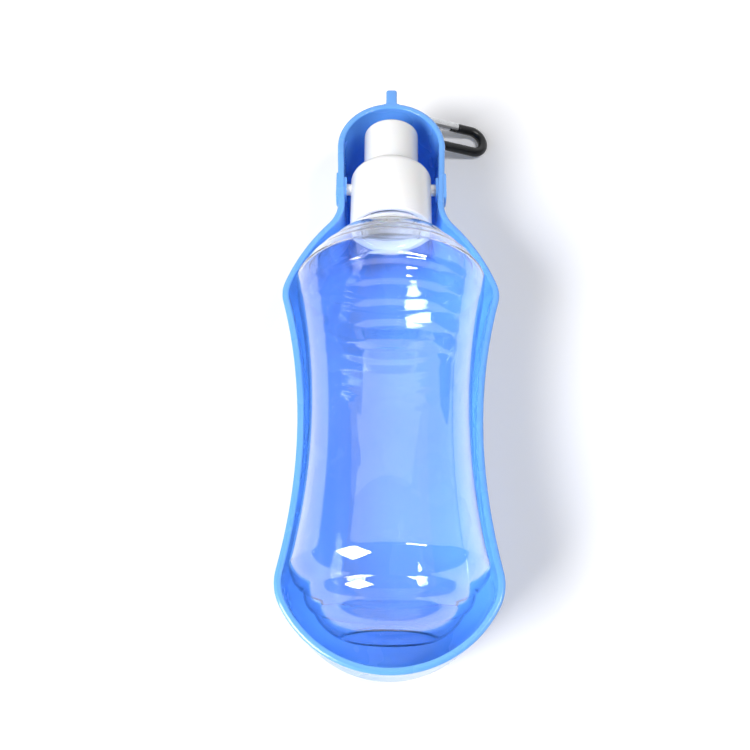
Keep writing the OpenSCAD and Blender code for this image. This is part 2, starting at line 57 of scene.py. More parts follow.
class Body(Enum):
    """The bodies of the CAD model that new pieces ride on."""

    TRAY = "tray"
    CAP = "cap"
    NOZZLE = "nozzle"
    PLUG = "plug"
    BOTTLE = "bottle"
    CARABINER = "carabiner"
    GATE = "gate"


class Slot(Enum):
    """The material slots of the record; each new piece names one."""

    TRAY = "tray"
    BOTTLE = "bottle"
    CAP = "cap"
    FRAME = "frame"
    PIN = "pin"


# Numbers and colours


def linear(hex_colour: str) -> tuple[float, float, float, float]:
    """Turns an sRGB hex colour into the linear colour that a shader takes.

    A channel c becomes c / 12.92 up to 0.04045 and ((c + 0.055) / 1.055) ** 2.4 above it.

    Args:
        hex_colour: Six hex digits, such as "6cb4fb".

    Returns:
        Red, green, blue and an alpha of one.
    """
    channels = np.array([int(hex_colour[i : i + 2], 16) / 255 for i in (0, 2, 4)])
    bent = np.where(channels <= 0.04045, channels / 12.92, ((channels + 0.055) / 1.055) ** 2.4)
    return (*(float(c) for c in bent), 1.0)


def unit(vectors: np.ndarray) -> np.ndarray:
    """Vectors scaled to length one along their last axis."""
    return vectors / np.maximum(np.linalg.norm(vectors, axis=-1, keepdims=True), 1e-12)


def left_of(way: np.ndarray) -> np.ndarray:
    """Directions in a plane turned a quarter to the left: (x, y) becomes (-y, x)."""
    return np.stack([-way[..., 1], way[..., 0]], axis=-1)


def arc(centre: tuple[float, float], radius: float, first: float, last: float, steps: int) -> np.ndarray:
    """Points centre + radius (cos a, sin a), with a in even steps from first to last in degrees."""
    angle = np.radians(np.linspace(first, last, steps + 1))
    return np.array(centre) + radius * np.stack([np.cos(angle), np.sin(angle)], axis=-1)


def arc_about(centre: np.ndarray, start: np.ndarray, end: np.ndarray, count: int) -> np.ndarray:
    """Points of the shorter arc round a centre: c + r (cos a, sin a), with a even from start to end.

    Args:
        centre: Middle of the circle.
        start: First point, which sets the radius.
        end: Point whose direction ends the arc.
        count: Number of steps.

    Returns:
        Array of count + 1 points.
    """
    radius = np.linalg.norm(start - centre)
    first = np.arctan2(start[1] - centre[1], start[0] - centre[0])
    last = np.arctan2(end[1] - centre[1], end[0] - centre[0])
    turn = (last - first + np.pi) % (2 * np.pi) - np.pi
    angle = first + turn * np.linspace(0, 1, count + 1)
    return centre + radius * np.stack([np.cos(angle), np.sin(angle)], axis=-1)


def arc_bulge(start: np.ndarray, end: np.ndarray, sag: float, count: int) -> np.ndarray:
    """Arc that bulges by sag to the right of the way from start to end.

    With half the chord h, the radius is (h h + sag sag) / (2 sag).

    Args:
        start: First point.
        end: Last point.
        sag: Height of the bulge.
        count: Number of steps.

    Returns:
        Array of count + 1 points.
    """
    start, end = np.asarray(start, float), np.asarray(end, float)
    half = np.linalg.norm(end - start) / 2
    radius = (half * half + sag * sag) / (2 * sag)
    return arc_about((start + end) / 2 + left_of(unit(end - start)) * (radius - sag), start, end, count)


def centre_of(start: np.ndarray, middle: np.ndarray, end: np.ndarray) -> np.ndarray:
    """Middle of the circle through three points, at equal distance from all of them."""
    a, m, b = (np.asarray(p, float) for p in (start, middle, end))
    return np.linalg.solve(2 * np.array([m - a, b - a]), np.array([m @ m - a @ a, b @ b - a @ a]))


def meeting(first: np.ndarray, first_radius: float, second: np.ndarray, second_radius: float) -> np.ndarray:
    """Where two circles meet, on the left of the way from the first middle to the second.

    Along the way the point lies at (ra ra - rb rb + d d) / (2 d), and off it by the rest of ra.

    Args:
        first: Middle of the first circle.
        first_radius: Its radius ra.
        second: Middle of the second circle, at the distance d.
        second_radius: Its radius rb.

    Returns:
        The point.
    """
    apart = np.linalg.norm(second - first)
    along = (first_radius**2 - second_radius**2 + apart**2) / (2 * apart)
    way = unit(second - first)
    return first + way * along + left_of(way) * np.sqrt(first_radius**2 - along**2)


def rounded(points: list[tuple[float, float]], radius: float, steps: int = 3) -> np.ndarray:
    """Softens the corners of a closed outline with arcs that touch both sides.

    A corner of half-angle h and radius r is cut off at r / tan(h); r shrinks on short sides.

    Args:
        points: Corners in order.
        radius: Wanted radius.
        steps: Number of steps of each arc.

    Returns:
        The softened outline.
    """
    corners = np.asarray(points, float)
    runs = []
    for before, corner, after in zip(np.roll(corners, 1, axis=0), corners, np.roll(corners, -1, axis=0)):
        u, v = unit(before - corner), unit(after - corner)
        half = np.arccos(np.clip(u @ v, -1, 1)) / 2
        if half > np.radians(80):
            runs.append(corner[None])
            continue
        reach = 0.45 * min(np.linalg.norm(before - corner), np.linalg.norm(after - corner))
        r = min(radius, reach * np.tan(half))
        centre = corner + unit(u + v) * r / np.sin(half)
        runs.append(arc_about(centre, corner + u * r / np.tan(half), corner + v * r / np.tan(half), steps))
    return np.vstack(runs)


def graded_path(points: np.ndarray, count: int, pull: float, closed: bool = False) -> np.ndarray:
    """Spaces a path's points evenly in length plus pull times turning, so that bends get more of them.

    Args:
        points: Points of the path.
        count: Number of steps wanted.
        pull: Length in millimetres that a turn of one radian counts for.
        closed: Whether the last point joins the first.

    Returns:
        The new points, without the first again at the end of a closed path.
    """
    if closed:
        points = np.vstack([points, points[:1]])
    steps = np.diff(points, axis=0)
    keep = np.r_[True, np.linalg.norm(steps, axis=1) > 1e-6]
    points = points[keep]
    steps = np.diff(points, axis=0)
    way = unit(steps)
    turn = np.arccos(np.clip(np.sum(way[1:] * way[:-1], axis=1), -1, 1))
    turn = np.r_[0, turn / 2] + np.r_[turn / 2, 0]
    measure = np.r_[0, np.cumsum(np.linalg.norm(steps, axis=1) + pull * turn)]
    places = np.linspace(0, measure[-1], count + 1)
    spaced = np.stack([np.interp(places, measure, points[:, k]) for k in range(points.shape[1])], axis=-1)
    return spaced[:-1] if closed else spaced


def smoothed(values: np.ndarray, width: float) -> np.ndarray:
    """Softens a row of values with a bell curve exp(-x x / 2 w w), its ends held.

    Args:
        values: Values at even steps.
        width: Width of the bell in steps.

    Returns:
        The softened values.
    """
    reach = int(4 * width) + 1
    bell = np.exp(-0.5 * (np.arange(-reach, reach + 1) / width) ** 2)
    before, after = 2 * values[0] - values[reach:0:-1], 2 * values[-1] - values[-2 : -reach - 2 : -1]
    padded = np.r_[before, values, after]
    return np.convolve(padded, bell / bell.sum(), mode="valid")


def hump(distance: np.ndarray, width: float) -> np.ndarray:
    """A bell of height one: exp(-(distance / width) squared)."""
    return np.exp(-((distance / width) ** 2))


# Meshes


def grid_faces(rows: int, columns: int) -> list[list[int]]:
    """Quads between neighbouring points of a grid, row by row; each row is closed on itself.

    Args:
        rows: Number of rows.
        columns: Number of points in a row.

    Returns:
        Faces of four indices each.
    """
    row, column = np.meshgrid(np.arange(rows - 1), np.arange(columns), indexing="ij")
    low, high, after = row * columns, (row + 1) * columns, (column + 1) % columns
    corners = np.stack((low + column, low + after, high + after, high + column), axis=-1)
    return corners.reshape(-1, 4).tolist()


def capped_faces(rows: int, columns: int) -> list[list[int]]:
    """The quads of a grid with a flat face over its first and its last row."""
    last = (rows - 1) * columns
    return grid_faces(rows, columns) + [list(range(columns)), list(range(last + columns - 1, last - 1, -1))]


Shell = tuple[np.ndarray, list[list[int]]]


def make_object(name: str, parts: list[Shell], crease: float = 35.0) -> bpy.types.Object:
    """Makes one mesh object of shells given in millimetres, with closed seams and outward normals.

    Args:
        name: Name of the piece.
        parts: Points and faces of each closed shell.
        crease: Angle in degrees above which an edge stays sharp.

    Returns:
        The linked object, which sits at the origin.
    """
    points, faces, start = [], [], 0
    for part_points, part_faces in parts:
        flat = part_points.reshape(-1, 3) * MM
        points.append(flat)
        faces += [[start + corner for corner in face] for face in part_faces]
        start += len(flat)
    mesh = bpy.data.meshes.new(name)
    mesh.from_pydata(np.vstack(points).tolist(), [], faces)
    shell = bmesh.new()
    shell.from_mesh(mesh)
    bmesh.ops.remove_doubles(shell, verts=shell.verts, dist=2e-6)
    bmesh.ops.dissolve_degenerate(shell, edges=shell.edges, dist=1e-7)
    bmesh.ops.recalc_face_normals(shell, faces=shell.faces)
    shell.to_mesh(mesh)
    shell.free()
    smooth(mesh, crease)
    piece = bpy.data.objects.new(name, mesh)
    bpy.context.scene.collection.objects.link(piece)
    return piece


def smooth(mesh: bpy.types.Mesh, crease: float) -> None:
    """Shades a mesh smoothly, but for edges sharper than the crease in degrees."""
    mesh.polygons.foreach_set("use_smooth", np.ones(len(mesh.polygons), dtype=bool))
    mesh.set_sharp_from_angle(angle=np.radians(crease))


def carve(piece: bpy.types.Object, cutter: bpy.types.Object, crease: float = 35.0) -> None:
    """Cuts the cutter's solid out of a piece, joins the piece's own shells and deletes the cutter.

    Args:
        piece: The object that is cut.
        cutter: A closed solid.
        crease: Angle in degrees above which an edge stays sharp.
    """
    modifier = piece.modifiers.new("holes", "BOOLEAN")
    modifier.object = cutter
    modifier.operation = "DIFFERENCE"
    modifier.solver = "EXACT"
    modifier.use_self = True
    graph = bpy.context.evaluated_depsgraph_get()
    mesh = bpy.data.meshes.new_from_object(piece.evaluated_get(graph))
    piece.modifiers.clear()
    piece.data = mesh
    smooth(mesh, crease)
    bpy.data.objects.remove(cutter)


def lathe(profile: np.ndarray, segments: int) -> Shell:
    """Turns a closed profile round the Z axis: x = r cos a, y = r sin a, z = h.

    Args:
        profile: Radius and height of each point.
        segments: Number of steps round.

    Returns:
        Points and faces.
    """
    profile = np.vstack([profile, profile[:1]])
    angle = np.linspace(0, 2 * np.pi, segments, endpoint=False)
    radius, height = profile[:, :1], profile[:, 1:]
    points = np.stack([radius * np.cos(angle), radius * np.sin(angle), height + 0 * angle], axis=-1)
    return points, grid_faces(len(profile), segments)


def tube(path: np.ndarray, radius: float, segments: int, soft: float = 0.0) -> Shell:
    """Carries a circle along an open path, with flat ends and soft edges: p + r (side cos a + up sin a).

    Args:
        path: Points in space.
        radius: Radius of the circle.
        segments: Number of steps round.
        soft: Radius of the rounded edge at both ends.

    Returns:
        Points and faces.
    """
    way = unit(np.gradient(path, axis=0))
    side = [unit(np.cross(way[0], np.array([0.31, 0.17, 0.94])))]
    for step in way[1:]:
        side.append(unit(side[-1] - step * (side[-1] @ step)))
    side = np.array(side)
    up = np.cross(way, side)
    turn = np.radians(np.linspace(0, 90, 4))
    less = soft * (1 - np.sin(turn))
    ahead = soft * np.cos(turn)
    index = np.r_[np.zeros(5, int), np.arange(len(path)), np.full(5, len(path) - 1)]
    size = np.r_[0, radius - less, np.full(len(path), radius), radius - less[::-1], 0]
    shift = np.r_[-soft, -ahead, np.zeros(len(path)), ahead[::-1], soft]
    angle = np.linspace(0, 2 * np.pi, segments, endpoint=False)
    ring = side[index][:, None] * np.cos(angle)[:, None] + up[index][:, None] * np.sin(angle)[:, None]
    middle = path[index] + way[index] * shift[:, None]
    return middle[:, None] + ring * size[:, None, None], grid_faces(len(index), segments)


def slab(outline: np.ndarray, half: float, soft: float) -> Shell:
    """A flat plate with soft edges: the outline at heights from -half to half, set in near both faces.

    Args:
        outline: Closed outline, anticlockwise.
        half: Half the thickness.
        soft: Radius of the soft edges.

    Returns:
        Points and faces.
    """
    inward = left_of(unit(np.roll(outline, -1, axis=0) - np.roll(outline, 1, axis=0)))
    turn = np.radians(np.linspace(0, 90, 4))
    run = [(half - soft * (1 - np.cos(a)), soft * (1 - np.sin(a))) for a in turn]
    run = [(-height, inset) for height, inset in run] + run[::-1]
    rows = [np.c_[outline + inward * inset, np.full(len(outline), height)] for height, inset in run]
    return np.stack(rows), capped_faces(len(rows), len(outline))


# Finishes


Tree, Node, Socket = bpy.types.NodeTree, bpy.types.Node, bpy.types.NodeSocket


def add_node(tree: Tree, kind: str, inputs: dict | None = None, **settings) -> Node:
    """Adds a node with its settings, values and links.

    Args:
        tree: Node tree of the material or world.
        kind: Blender's name for the kind of node, without the ShaderNode that all begin with.
        inputs: Value or output socket for each input, by name or number.
        **settings: Attributes to set on the node.

    Returns:
        The new node.
    """
    node = tree.nodes.new("ShaderNode" + kind)
    for name, value in settings.items():
        setattr(node, name, value)
    for name, value in (inputs or {}).items():
        if isinstance(value, Socket):
            tree.links.new(value, node.inputs[name])
        else:
            node.inputs[name].default_value = value
    return node


def per_mm(size: float) -> float:
    """Scale of a noise whose grain is so many millimetres wide."""
    return 1 / (size * MM)


def mottled(
    tree: Tree, noise: Socket, colours: tuple[str, str], span: tuple[float, float] = MIDDLE, most: float = 1.0
) -> Socket:
    """Mixes two colours by a noise: the first alone below the span, most of the second above it.

    Args:
        tree: Node tree of the material.
        noise: The noise.
        colours: The two hex colours.
        span: Values of the noise between which the mix changes.
        most: Largest share of the second colour.

    Returns:
        The mixed colour.
    """
    share = add_node(tree, "MapRange", {0: noise, 1: span[0], 2: span[1], 3: 0.0, 4: most})
    inputs = {0: share.outputs[0], 6: linear(colours[0]), 7: linear(colours[1])}
    return add_node(tree, "Mix", inputs, data_type="RGBA").outputs[2]


def skin(
    tree: Tree, relief: Socket, height: float, inputs: dict, rough: tuple[Socket, float, float] | None = None
) -> Node:
    """Adds a Principled shader with a fine relief and a roughness that wanders with a noise.

    Args:
        tree: Node tree of the material.
        relief: Noise of the relief.
        height: Height of the relief in millimetres.
        inputs: The shader's other values and links.
        rough: Noise of the roughness, and its value at both ends of the noise's middle range.

    Returns:
        The shader.
    """
    bump = add_node(tree, "Bump", {"Height": relief, "Distance": height * MM})
    inputs = {**inputs, "Normal": bump.outputs[0]}
    if rough:
        noise, low, high = rough
        wander = {0: noise, 1: MIDDLE[0], 2: MIDDLE[1], 3: low, 4: high}
        inputs["Roughness"] = add_node(tree, "MapRange", wander).outputs[0]
    return add_node(tree, "BsdfPrincipled", inputs)


def seen_by(tree: Tree, *rays: str) -> Socket:
    """One for the named kinds of ray and nought for all others: the largest of Light Path's outputs."""
    path = add_node(tree, "LightPath")
    seen = path.outputs[rays[0]]
    for ray in rays[1:]:
        seen = add_node(tree, "Math", {0: seen, 1: path.outputs[ray]}, operation="MAXIMUM").outputs[0]
    return seen


@dataclass(frozen=True)
class Finish:
    """What all finishes share: a node material on Object coordinates, with the finish's own shader."""

    name: str

    def shader(self, tree: Tree, place: Socket) -> Node:
        """Builds the shader of one kind of finish."""
        raise NotImplementedError

    def material(self) -> bpy.types.Material:
        """Builds the node material."""
        material = bpy.data.materials.new(self.name)
        material.use_nodes = True
        tree = material.node_tree
        tree.nodes.clear()
        shader = self.shader(tree, add_node(tree, "TexCoord").outputs["Object"])
        add_node(tree, "OutputMaterial", {"Surface": shader.outputs[0]})
        return material


@dataclass(frozen=True)
class MouldedPlastic(Finish):
    """Injection-moulded polypropylene or ABS from a polished tool.

    The eye sees a smooth, closed, glossy skin with the faint slow waves of
    shrinkage, a gloss that the mould's flow dulls in soft patches, and a
    colour that is even all through.
    """

    colour: str
    deep_colour: str
    roughness: float = 0.22
    wave_size: float = 9.0
    wave_height: float = 0.006
    flow_size: float = 38.0
    subsurface: float = 0.0
    coat: float = 0.0

    def shader(self, tree: Tree, place: Socket) -> Node:
        """A glossy skin whose colour and gloss follow the flow of the melt."""
        waves, flow = (
            add_node(tree, "TexNoise", {"Vector": place, "Scale": per_mm(size), "Detail": detail}).outputs["Fac"]
            for size, detail in ((self.wave_size, 1.0), (self.flow_size, 3.0))
        )
        inputs = {
            "Base Color": mottled(tree, flow, (self.colour, self.deep_colour)),
            "IOR": 1.49,
            "Subsurface Weight": self.subsurface,
            "Subsurface Radius": (0.6, 0.8, 1.0),
            "Subsurface Scale": 2 * MM,
            "Coat Weight": self.coat,
        }
        rough = (flow, self.roughness * 0.85, self.roughness * 1.2)
        return skin(tree, waves, self.wave_height, inputs, rough)


@dataclass(frozen=True)
class BlownCopolyester(Finish):
    """Stretch-blown clear copolyester, the stuff of squeeze bottles.

    The eye sees almost nothing of the wall but its reflections, which the
    blowing leaves slightly wavy, and a faint cool grey where the wall is
    looked through lengthwise. A real wall is thinner than the built one and
    hardly bends what lies behind it, so the index is drawn low, and a clear
    coat gives back the mirror that both faces of the real wall have.
    """

    name: str = "blown_clear_copolyester"
    colour: str = "f4f8ff"
    shade: str = "e9eef8"
    wave_size: float = 7.0
    wave_height: float = 0.02
    stretch: float = 0.45

    def shader(self, tree: Tree, place: Socket) -> Node:
        """A clear wall through which lamps shine as through a thin film."""
        along = add_node(tree, "Mapping", {"Vector": place, "Scale": (1, self.stretch, 1)}).outputs[0]
        waves = add_node(tree, "TexNoise", {"Vector": along, "Scale": per_mm(self.wave_size), "Detail": 2.0})
        inputs = {
            "Base Color": linear(self.colour),
            "Roughness": 0.0,
            "IOR": 1.22,
            "Transmission Weight": 1.0,
            "Coat Weight": 1.0,
            "Coat IOR": 1.75,
            "Coat Roughness": 0.01,
        }
        wall = skin(tree, waves.outputs["Fac"], self.wave_height, inputs)
        film = add_node(tree, "BsdfTransparent", {"Color": linear(self.shade)})
        parts = {0: seen_by(tree, "Is Shadow Ray"), 1: wall.outputs[0], 2: film.outputs[0]}
        return add_node(tree, "MixShader", parts)


@dataclass(frozen=True)
class SiliconeRubber(Finish):
    """Moulded silicone rubber: the eye sees a dull grey skin with fine dust in its grain."""

    name: str = "moulded_silicone"
    colour: str = "b9bdc1"
    grain: float = 0.4

    def shader(self, tree: Tree, place: Socket) -> Node:
        """A dull skin."""
        dust = add_node(tree, "TexNoise", {"Vector": place, "Scale": per_mm(self.grain), "Detail": 3.0})
        inputs = {"Base Color": linear(self.colour), "IOR": 1.41}
        return skin(tree, dust.outputs["Fac"], 0.01, inputs, (dust.outputs["Fac"], 0.5, 0.65))


@dataclass(frozen=True)
class BlackLacquer(Finish):
    """Baked black lacquer on bent aluminium rod: satin, with a slight orange skin and pale rubbed spots."""

    name: str = "baked_black_lacquer"
    colour: str = "141518"
    rubbed: str = "3a3c41"
    peel_size: float = 0.7
    wear_size: float = 4.0
    worn_span: tuple[float, float] = (0.6, 0.75)
    worn_share: float = 0.6

    def shader(self, tree: Tree, place: Socket) -> Node:
        """A satin skin that handling has rubbed."""
        peel, wear = (
            add_node(tree, "TexNoise", {"Vector": place, "Scale": per_mm(size), "Detail": detail}).outputs["Fac"]
            for size, detail in ((self.peel_size, 2.0), (self.wear_size, 5.0))
        )
        colour = mottled(tree, wear, (self.colour, self.rubbed), self.worn_span, self.worn_share)
        inputs = {"Base Color": colour, "IOR": 1.5}
        return skin(tree, peel, 0.012, inputs, (wear, 0.28, 0.42))


@dataclass(frozen=True)
class DrawnMetal(Finish):
    """Drawn aluminium tube or steel wire, tumbled bright: fine lines run along it and soften its mirror."""

    colour: str
    dull_colour: str
    roughness: float
    line_spacing: float = 0.25
    line_stretch: float = 0.08

    def shader(self, tree: Tree, place: Socket) -> Node:
        """A lined metal skin; the lines are drawn coarser than real ones, so that they show."""
        along = add_node(tree, "Mapping", {"Vector": place, "Scale": (self.line_stretch, 1, 1)}).outputs[0]
        inputs = {"Vector": along, "Scale": per_mm(self.line_spacing), "Detail": 2.0}
        lines = add_node(tree, "TexNoise", inputs).outputs["Fac"]
        inputs = {"Base Color": mottled(tree, lines, (self.colour, self.dull_colour)), "Metallic": 1.0}
        return skin(tree, lines, 0.004, inputs, (lines, self.roughness * 0.8, self.roughness * 1.3))


@dataclass(frozen=True)
class StudioPaper(Finish):
    """Matt background paper: an even sheet to the eye, which the lens and mirrors see a little brighter."""

    colour: str
    lift: float
    fibre: float = 1.5

    def shader(self, tree: Tree, place: Socket) -> Node:
        """A diffuse sheet, with a little light of its own for what sees it."""
        fibre = add_node(tree, "TexNoise", {"Vector": place, "Scale": per_mm(self.fibre), "Detail": 3.0})
        relief = add_node(tree, "Bump", {"Height": fibre.outputs["Fac"], "Distance": 0.01 * MM})
        inputs = {"Color": linear(self.colour), "Roughness": 1.0, "Normal": relief.outputs[0]}
        sheet = add_node(tree, "BsdfDiffuse", inputs)
        seen = seen_by(tree, "Is Camera Ray", "Is Glossy Ray", "Is Transmission Ray")
        strength = add_node(tree, "Math", {0: seen, 1: self.lift}, operation="MULTIPLY")
        glow = add_node(tree, "Emission", {"Strength": strength.outputs[0]})
        return add_node(tree, "AddShader", {0: sheet.outputs[0], 1: glow.outputs[0]})


def dress(piece: bpy.types.Object, finish: bpy.types.Material, body: Body, slot: Slot, *nodes: str) -> None:
    """Gives a new piece its finish and its body, and hides the CAD nodes that it stands for.

    Args:
        piece: The new object.
        finish: Its material.
        body: The body that it moves with.
        slot: The record's material slot; not used.
        *nodes: CAD nodes that it replaces.
    """
    piece.data.materials.clear()
    piece.data.materials.append(finish)
    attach(piece, body.value)
    if nodes:
        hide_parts(*nodes)
    LOG.info("%s rides on %s: %d faces", piece.name, body.value, len(piece.data.polygons))


def dress_node(node: str, finish: bpy.types.Material) -> None:
    """Gives a CAD node that stays its finish, through its own material slots."""
    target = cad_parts[node]
    if not target.material_slots:
        target.data.materials.append(finish)
    for slot in target.material_slots:
        slot.material = finish
    LOG.info("%s keeps its CAD form", node)


# Sub-assemblies


@dataclass
class Layout:
    """Places that the sub-assemblies share, in millimetres."""

    tray_wall: float = 2.0
    lip_out: float = 0.8
    axis_height: float = 42.5
    rim_height: float = 47.0
    pivot_y: float = 81.8
    head_end: float = 127.3
    tail_end: float = -127.3
    pivot_half: float = 23.6
    boss_out: float = 0.8
    trunnion_radius: float = 2.6
    thread_pitch: float = 4.0
    slot_out: float = 2.3
    slot_height: float = 22.5

    def on_axis(self, points: np.ndarray) -> np.ndarray:
        """Lays points made round the Z axis on the bottle's axis, with the pivot at zero.

        (x, y, z) becomes (x, pivot_y + z, axis_height - y).
        """
        x, y, z = points[..., 0], points[..., 1], points[..., 2]
        return np.stack([x, self.pivot_y + z, self.axis_height - y], axis=-1)

    def laid(self, shell: Shell) -> Shell:
        """A shell made round the Z axis, laid on the bottle's axis."""
        return self.on_axis(shell[0]), shell[1]


@dataclass
class SubAssembly:
    """What the sub-assemblies share: the layout, and the finish of their main piece."""

    layout: Layout
    finish: bpy.types.Material


@dataclass
class Tray(SubAssembly):
    """The drinking tray: a trough with a lip, two pivot bosses and a hang tab, moulded in one piece."""

    rim_points: int = 560
    lip_height: float = 3.0
    lip_fall: float = 0.9
    lip_rise: float = 0.8
    lip_rounds: tuple[float, float, float] = (0.6, 0.8, 0.25)
    crown: tuple[tuple[float, float], ...] = ((1.6, 0.06), (1.3, 0.0), (0.95, 0.0))
    round_steps: int = 25
    floor_half: float = 17.0
    head_half: float = 24.3
    neck_station: float = 16.1
    shoulder_corner: tuple[float, float] = (46.2, 26.9)
    waist_point: tuple[float, float] = (36.6, -35.2)
    base_corner: tuple[float, float] = (43.4, -95.8)
    flare_bulge: float = 2.9
    draft: float = 0.6
    neck_round: float = 16.0
    shoulder_round: float = 15.0
    base_round: float = 19.0
    rounding_ratio: float = 1.3
    boss_radius: float = 7.6
    pad_radius: float = 5.6
    pad_in: float = 1.0
    pin_clear: float = 0.05
    tab_width: float = 5.0
    tab_out: float = 7.9
    tab_height: float = 34.0
    tab_round: float = 1.2
    slot_radius: float = 3.2
    slot_rise: float = 2.2
    slot_slant: float = 0.9

    def outline(self) -> np.ndarray:
        """The rim's outline, clockwise from the head's end, with more points in its bends.

        The right half runs through arcs that touch each other: head, neck rounding, flare,
        shoulder rounding, side, base rounding and tail. The left half is its mirror image.

        Returns:
            Array of points in the plane of the rim.
        """
        lay = self.layout
        head = np.array([0.0, lay.head_end - self.head_half])
        taper = (self.head_half - lay.pivot_half) / (head[1] - lay.pivot_y)
        neck = np.array([lay.pivot_half - taper * self.neck_station, lay.pivot_y - self.neck_station])
        corners = (self.shoulder_corner, self.waist_point, self.base_corner)
        shoulder, waist, base = (np.array(corner) for corner in corners)
        half = np.linalg.norm(shoulder - neck) / 2
        flare_radius = (half**2 + self.flare_bulge**2) / (2 * self.flare_bulge)
        flare = (neck + shoulder) / 2 + left_of(unit(shoulder - neck)) * (self.flare_bulge - flare_radius)
        side = centre_of(shoulder, waist, base)
        side_radius = np.linalg.norm(waist - side)
        drop = base[1] - lay.tail_end
        tail_radius = (base[0] ** 2 + drop**2) / (2 * drop)
        tail_low = np.array([0.0, lay.tail_end])
        tail = tail_low + [0, tail_radius]
        start = head + [self.head_half, 0]
        way = unit(neck - start)
        line = start + left_of(way) * self.neck_round
        along = (flare - line) @ way
        off = np.linalg.norm(flare - line - along * way)
        neck_arc = line + way * (along - np.sqrt((flare_radius + self.neck_round) ** 2 - off**2))
        r, s = self.shoulder_round, self.base_round
        shoulder_arc = meeting(flare, flare_radius - r, side, side_radius + r)
        base_arc = meeting(side, side_radius + s, tail, tail_radius - s)
        ends = [
            head + [0, self.head_half],
            neck_arc - left_of(way) * self.neck_round,
            neck_arc + unit(flare - neck_arc) * self.neck_round,
            shoulder_arc + unit(shoulder_arc - flare) * r,
            shoulder_arc + unit(side - shoulder_arc) * r,
            base_arc + unit(side - base_arc) * s,
            base_arc + unit(base_arc - tail) * s,
            tail_low,
        ]
        centres = (neck_arc, flare, shoulder_arc, side, base_arc, tail)
        right = [arc_about(head, ends[0], start, 60)]
        right += [arc_about(centre, a, b, 60) for centre, a, b in zip(centres, ends[1:], ends[2:])]
        right = np.vstack(right)
        return graded_path(np.vstack([right, right[-2:0:-1] * [-1, 1]]), self.rim_points, 8.0, closed=True)

    def shell(self) -> Shell:
        """The trough: rings set in from the rim, from the inner floor over the lip to the outer floor.

        A ring at inset d is outline - normal * d. Between wall and floor a ring at angle a lies at
        edge + (wall - edge) cos a, at the height z + h (1 - sin a), where h grows with the reach.

        Returns:
            Points and faces.
        """
        lay = self.layout
        rim = self.outline()
        normal = left_of(unit(np.roll(rim, -1, axis=0) - np.roll(rim, 1, axis=0)))
        head = np.array([0.0, lay.head_end - self.head_half])
        base = np.array([0.0, self.base_corner[1]])
        round_head = head + unit(rim - head) * self.floor_half
        round_tail = base + unit(rim - base) * self.floor_half
        straight = np.stack([np.sign(rim[:, 0]) * self.floor_half, rim[:, 1]], axis=-1)
        edge = np.where(rim[:, 1:] < base[1], round_tail, straight)
        edge = np.where(rim[:, 1:] > head[1], round_head, edge)
        spine = np.stack([0 * rim[:, 0], np.clip(edge[:, 1], base[1], head[1])], axis=-1)

        def flat(points: np.ndarray, height: float | np.ndarray) -> np.ndarray:
            """Plane points lifted to a height."""
            return np.concatenate([points, np.broadcast_to(height, (len(points), 1))], axis=1)

        def rounding(inset: float, height: float, angle: float) -> np.ndarray:
            """A ring on the rounding between wall and floor."""
            reach = rim - normal * inset - edge
            high = np.linalg.norm(reach, axis=1, keepdims=True) * self.rounding_ratio
            high = np.minimum(high, lay.rim_height - self.lip_height - 2 * lay.tray_wall)
            return flat(edge + reach * np.cos(angle), height + high * (1 - np.sin(angle)))

        def ring(inset: float, height: float) -> np.ndarray:
            """A ring at an inset from the rim's outline."""
            return flat(rim - normal * inset, height)

        band, top, under = lay.tray_wall + lay.lip_out, lay.rim_height, lay.rim_height - self.lip_height
        inner = [flat(spine, lay.tray_wall), flat(spine * 0.5 + edge * 0.5, lay.tray_wall)]
        quarter = np.radians(np.linspace(90, 0, self.round_steps))
        inner += [rounding(band + self.draft, lay.tray_wall, a) for a in quarter]
        start = top - self.lip_fall
        low, high = inner[-1], ring(band, start)
        inner += [low + (high - low) * t for t in (0.35, 0.7)]
        turn = np.radians(np.linspace(0, 90, 6))
        into, out, foot = self.lip_rounds
        inner += [ring(band - into * (1 - np.cos(a)), start + self.lip_rise * np.sin(a)) for a in turn]
        inner += [ring(inset, top - drop) for inset, drop in self.crown]
        outer = [ring(out * (1 - np.cos(a)), start + self.lip_rise * np.sin(a)) for a in turn[::-1]]
        outer += [ring(foot * (1 - np.cos(a)), under + foot - foot * np.sin(a)) for a in turn[::2]]
        outer += [ring(lay.lip_out, under - lay.lip_out / 2)]
        outer += [rounding(lay.lip_out + self.draft, 0, a) for a in quarter[::-1]]
        outer += [flat(spine * 0.5 + edge * 0.5, 0.0), flat(spine, 0.0)]
        rings = np.stack(inner + outer)
        return rings, grid_faces(len(rings), len(rim))

    def disc(
        self, side: float, start: float, outline: list[tuple[float, float]], top: float, count: int
    ) -> Shell:
        """A low round pad on the wall, round the pivot's axis and cut off below the rim.

        Its points are x = side (start + out), with (r cos a, r sin a) round the axis.

        Args:
            side: One on the right, minus one on the left.
            start: Distance of the wall's face from the middle.
            outline: Radius r and height out of each ring.
            top: Height at which it is cut off.
            count: Number of points round.

        Returns:
            Points and faces.
        """
        lay = self.layout
        radius, out = np.array(outline).T[..., None]
        angle = np.linspace(0, 2 * np.pi, count, endpoint=False)
        y = lay.pivot_y + radius * np.cos(angle)
        z = np.minimum(lay.axis_height + radius * np.sin(angle), top)
        x = side * (start + out + 0 * angle)
        return np.stack([x, y, z], axis=-1), grid_faces(len(outline), count)

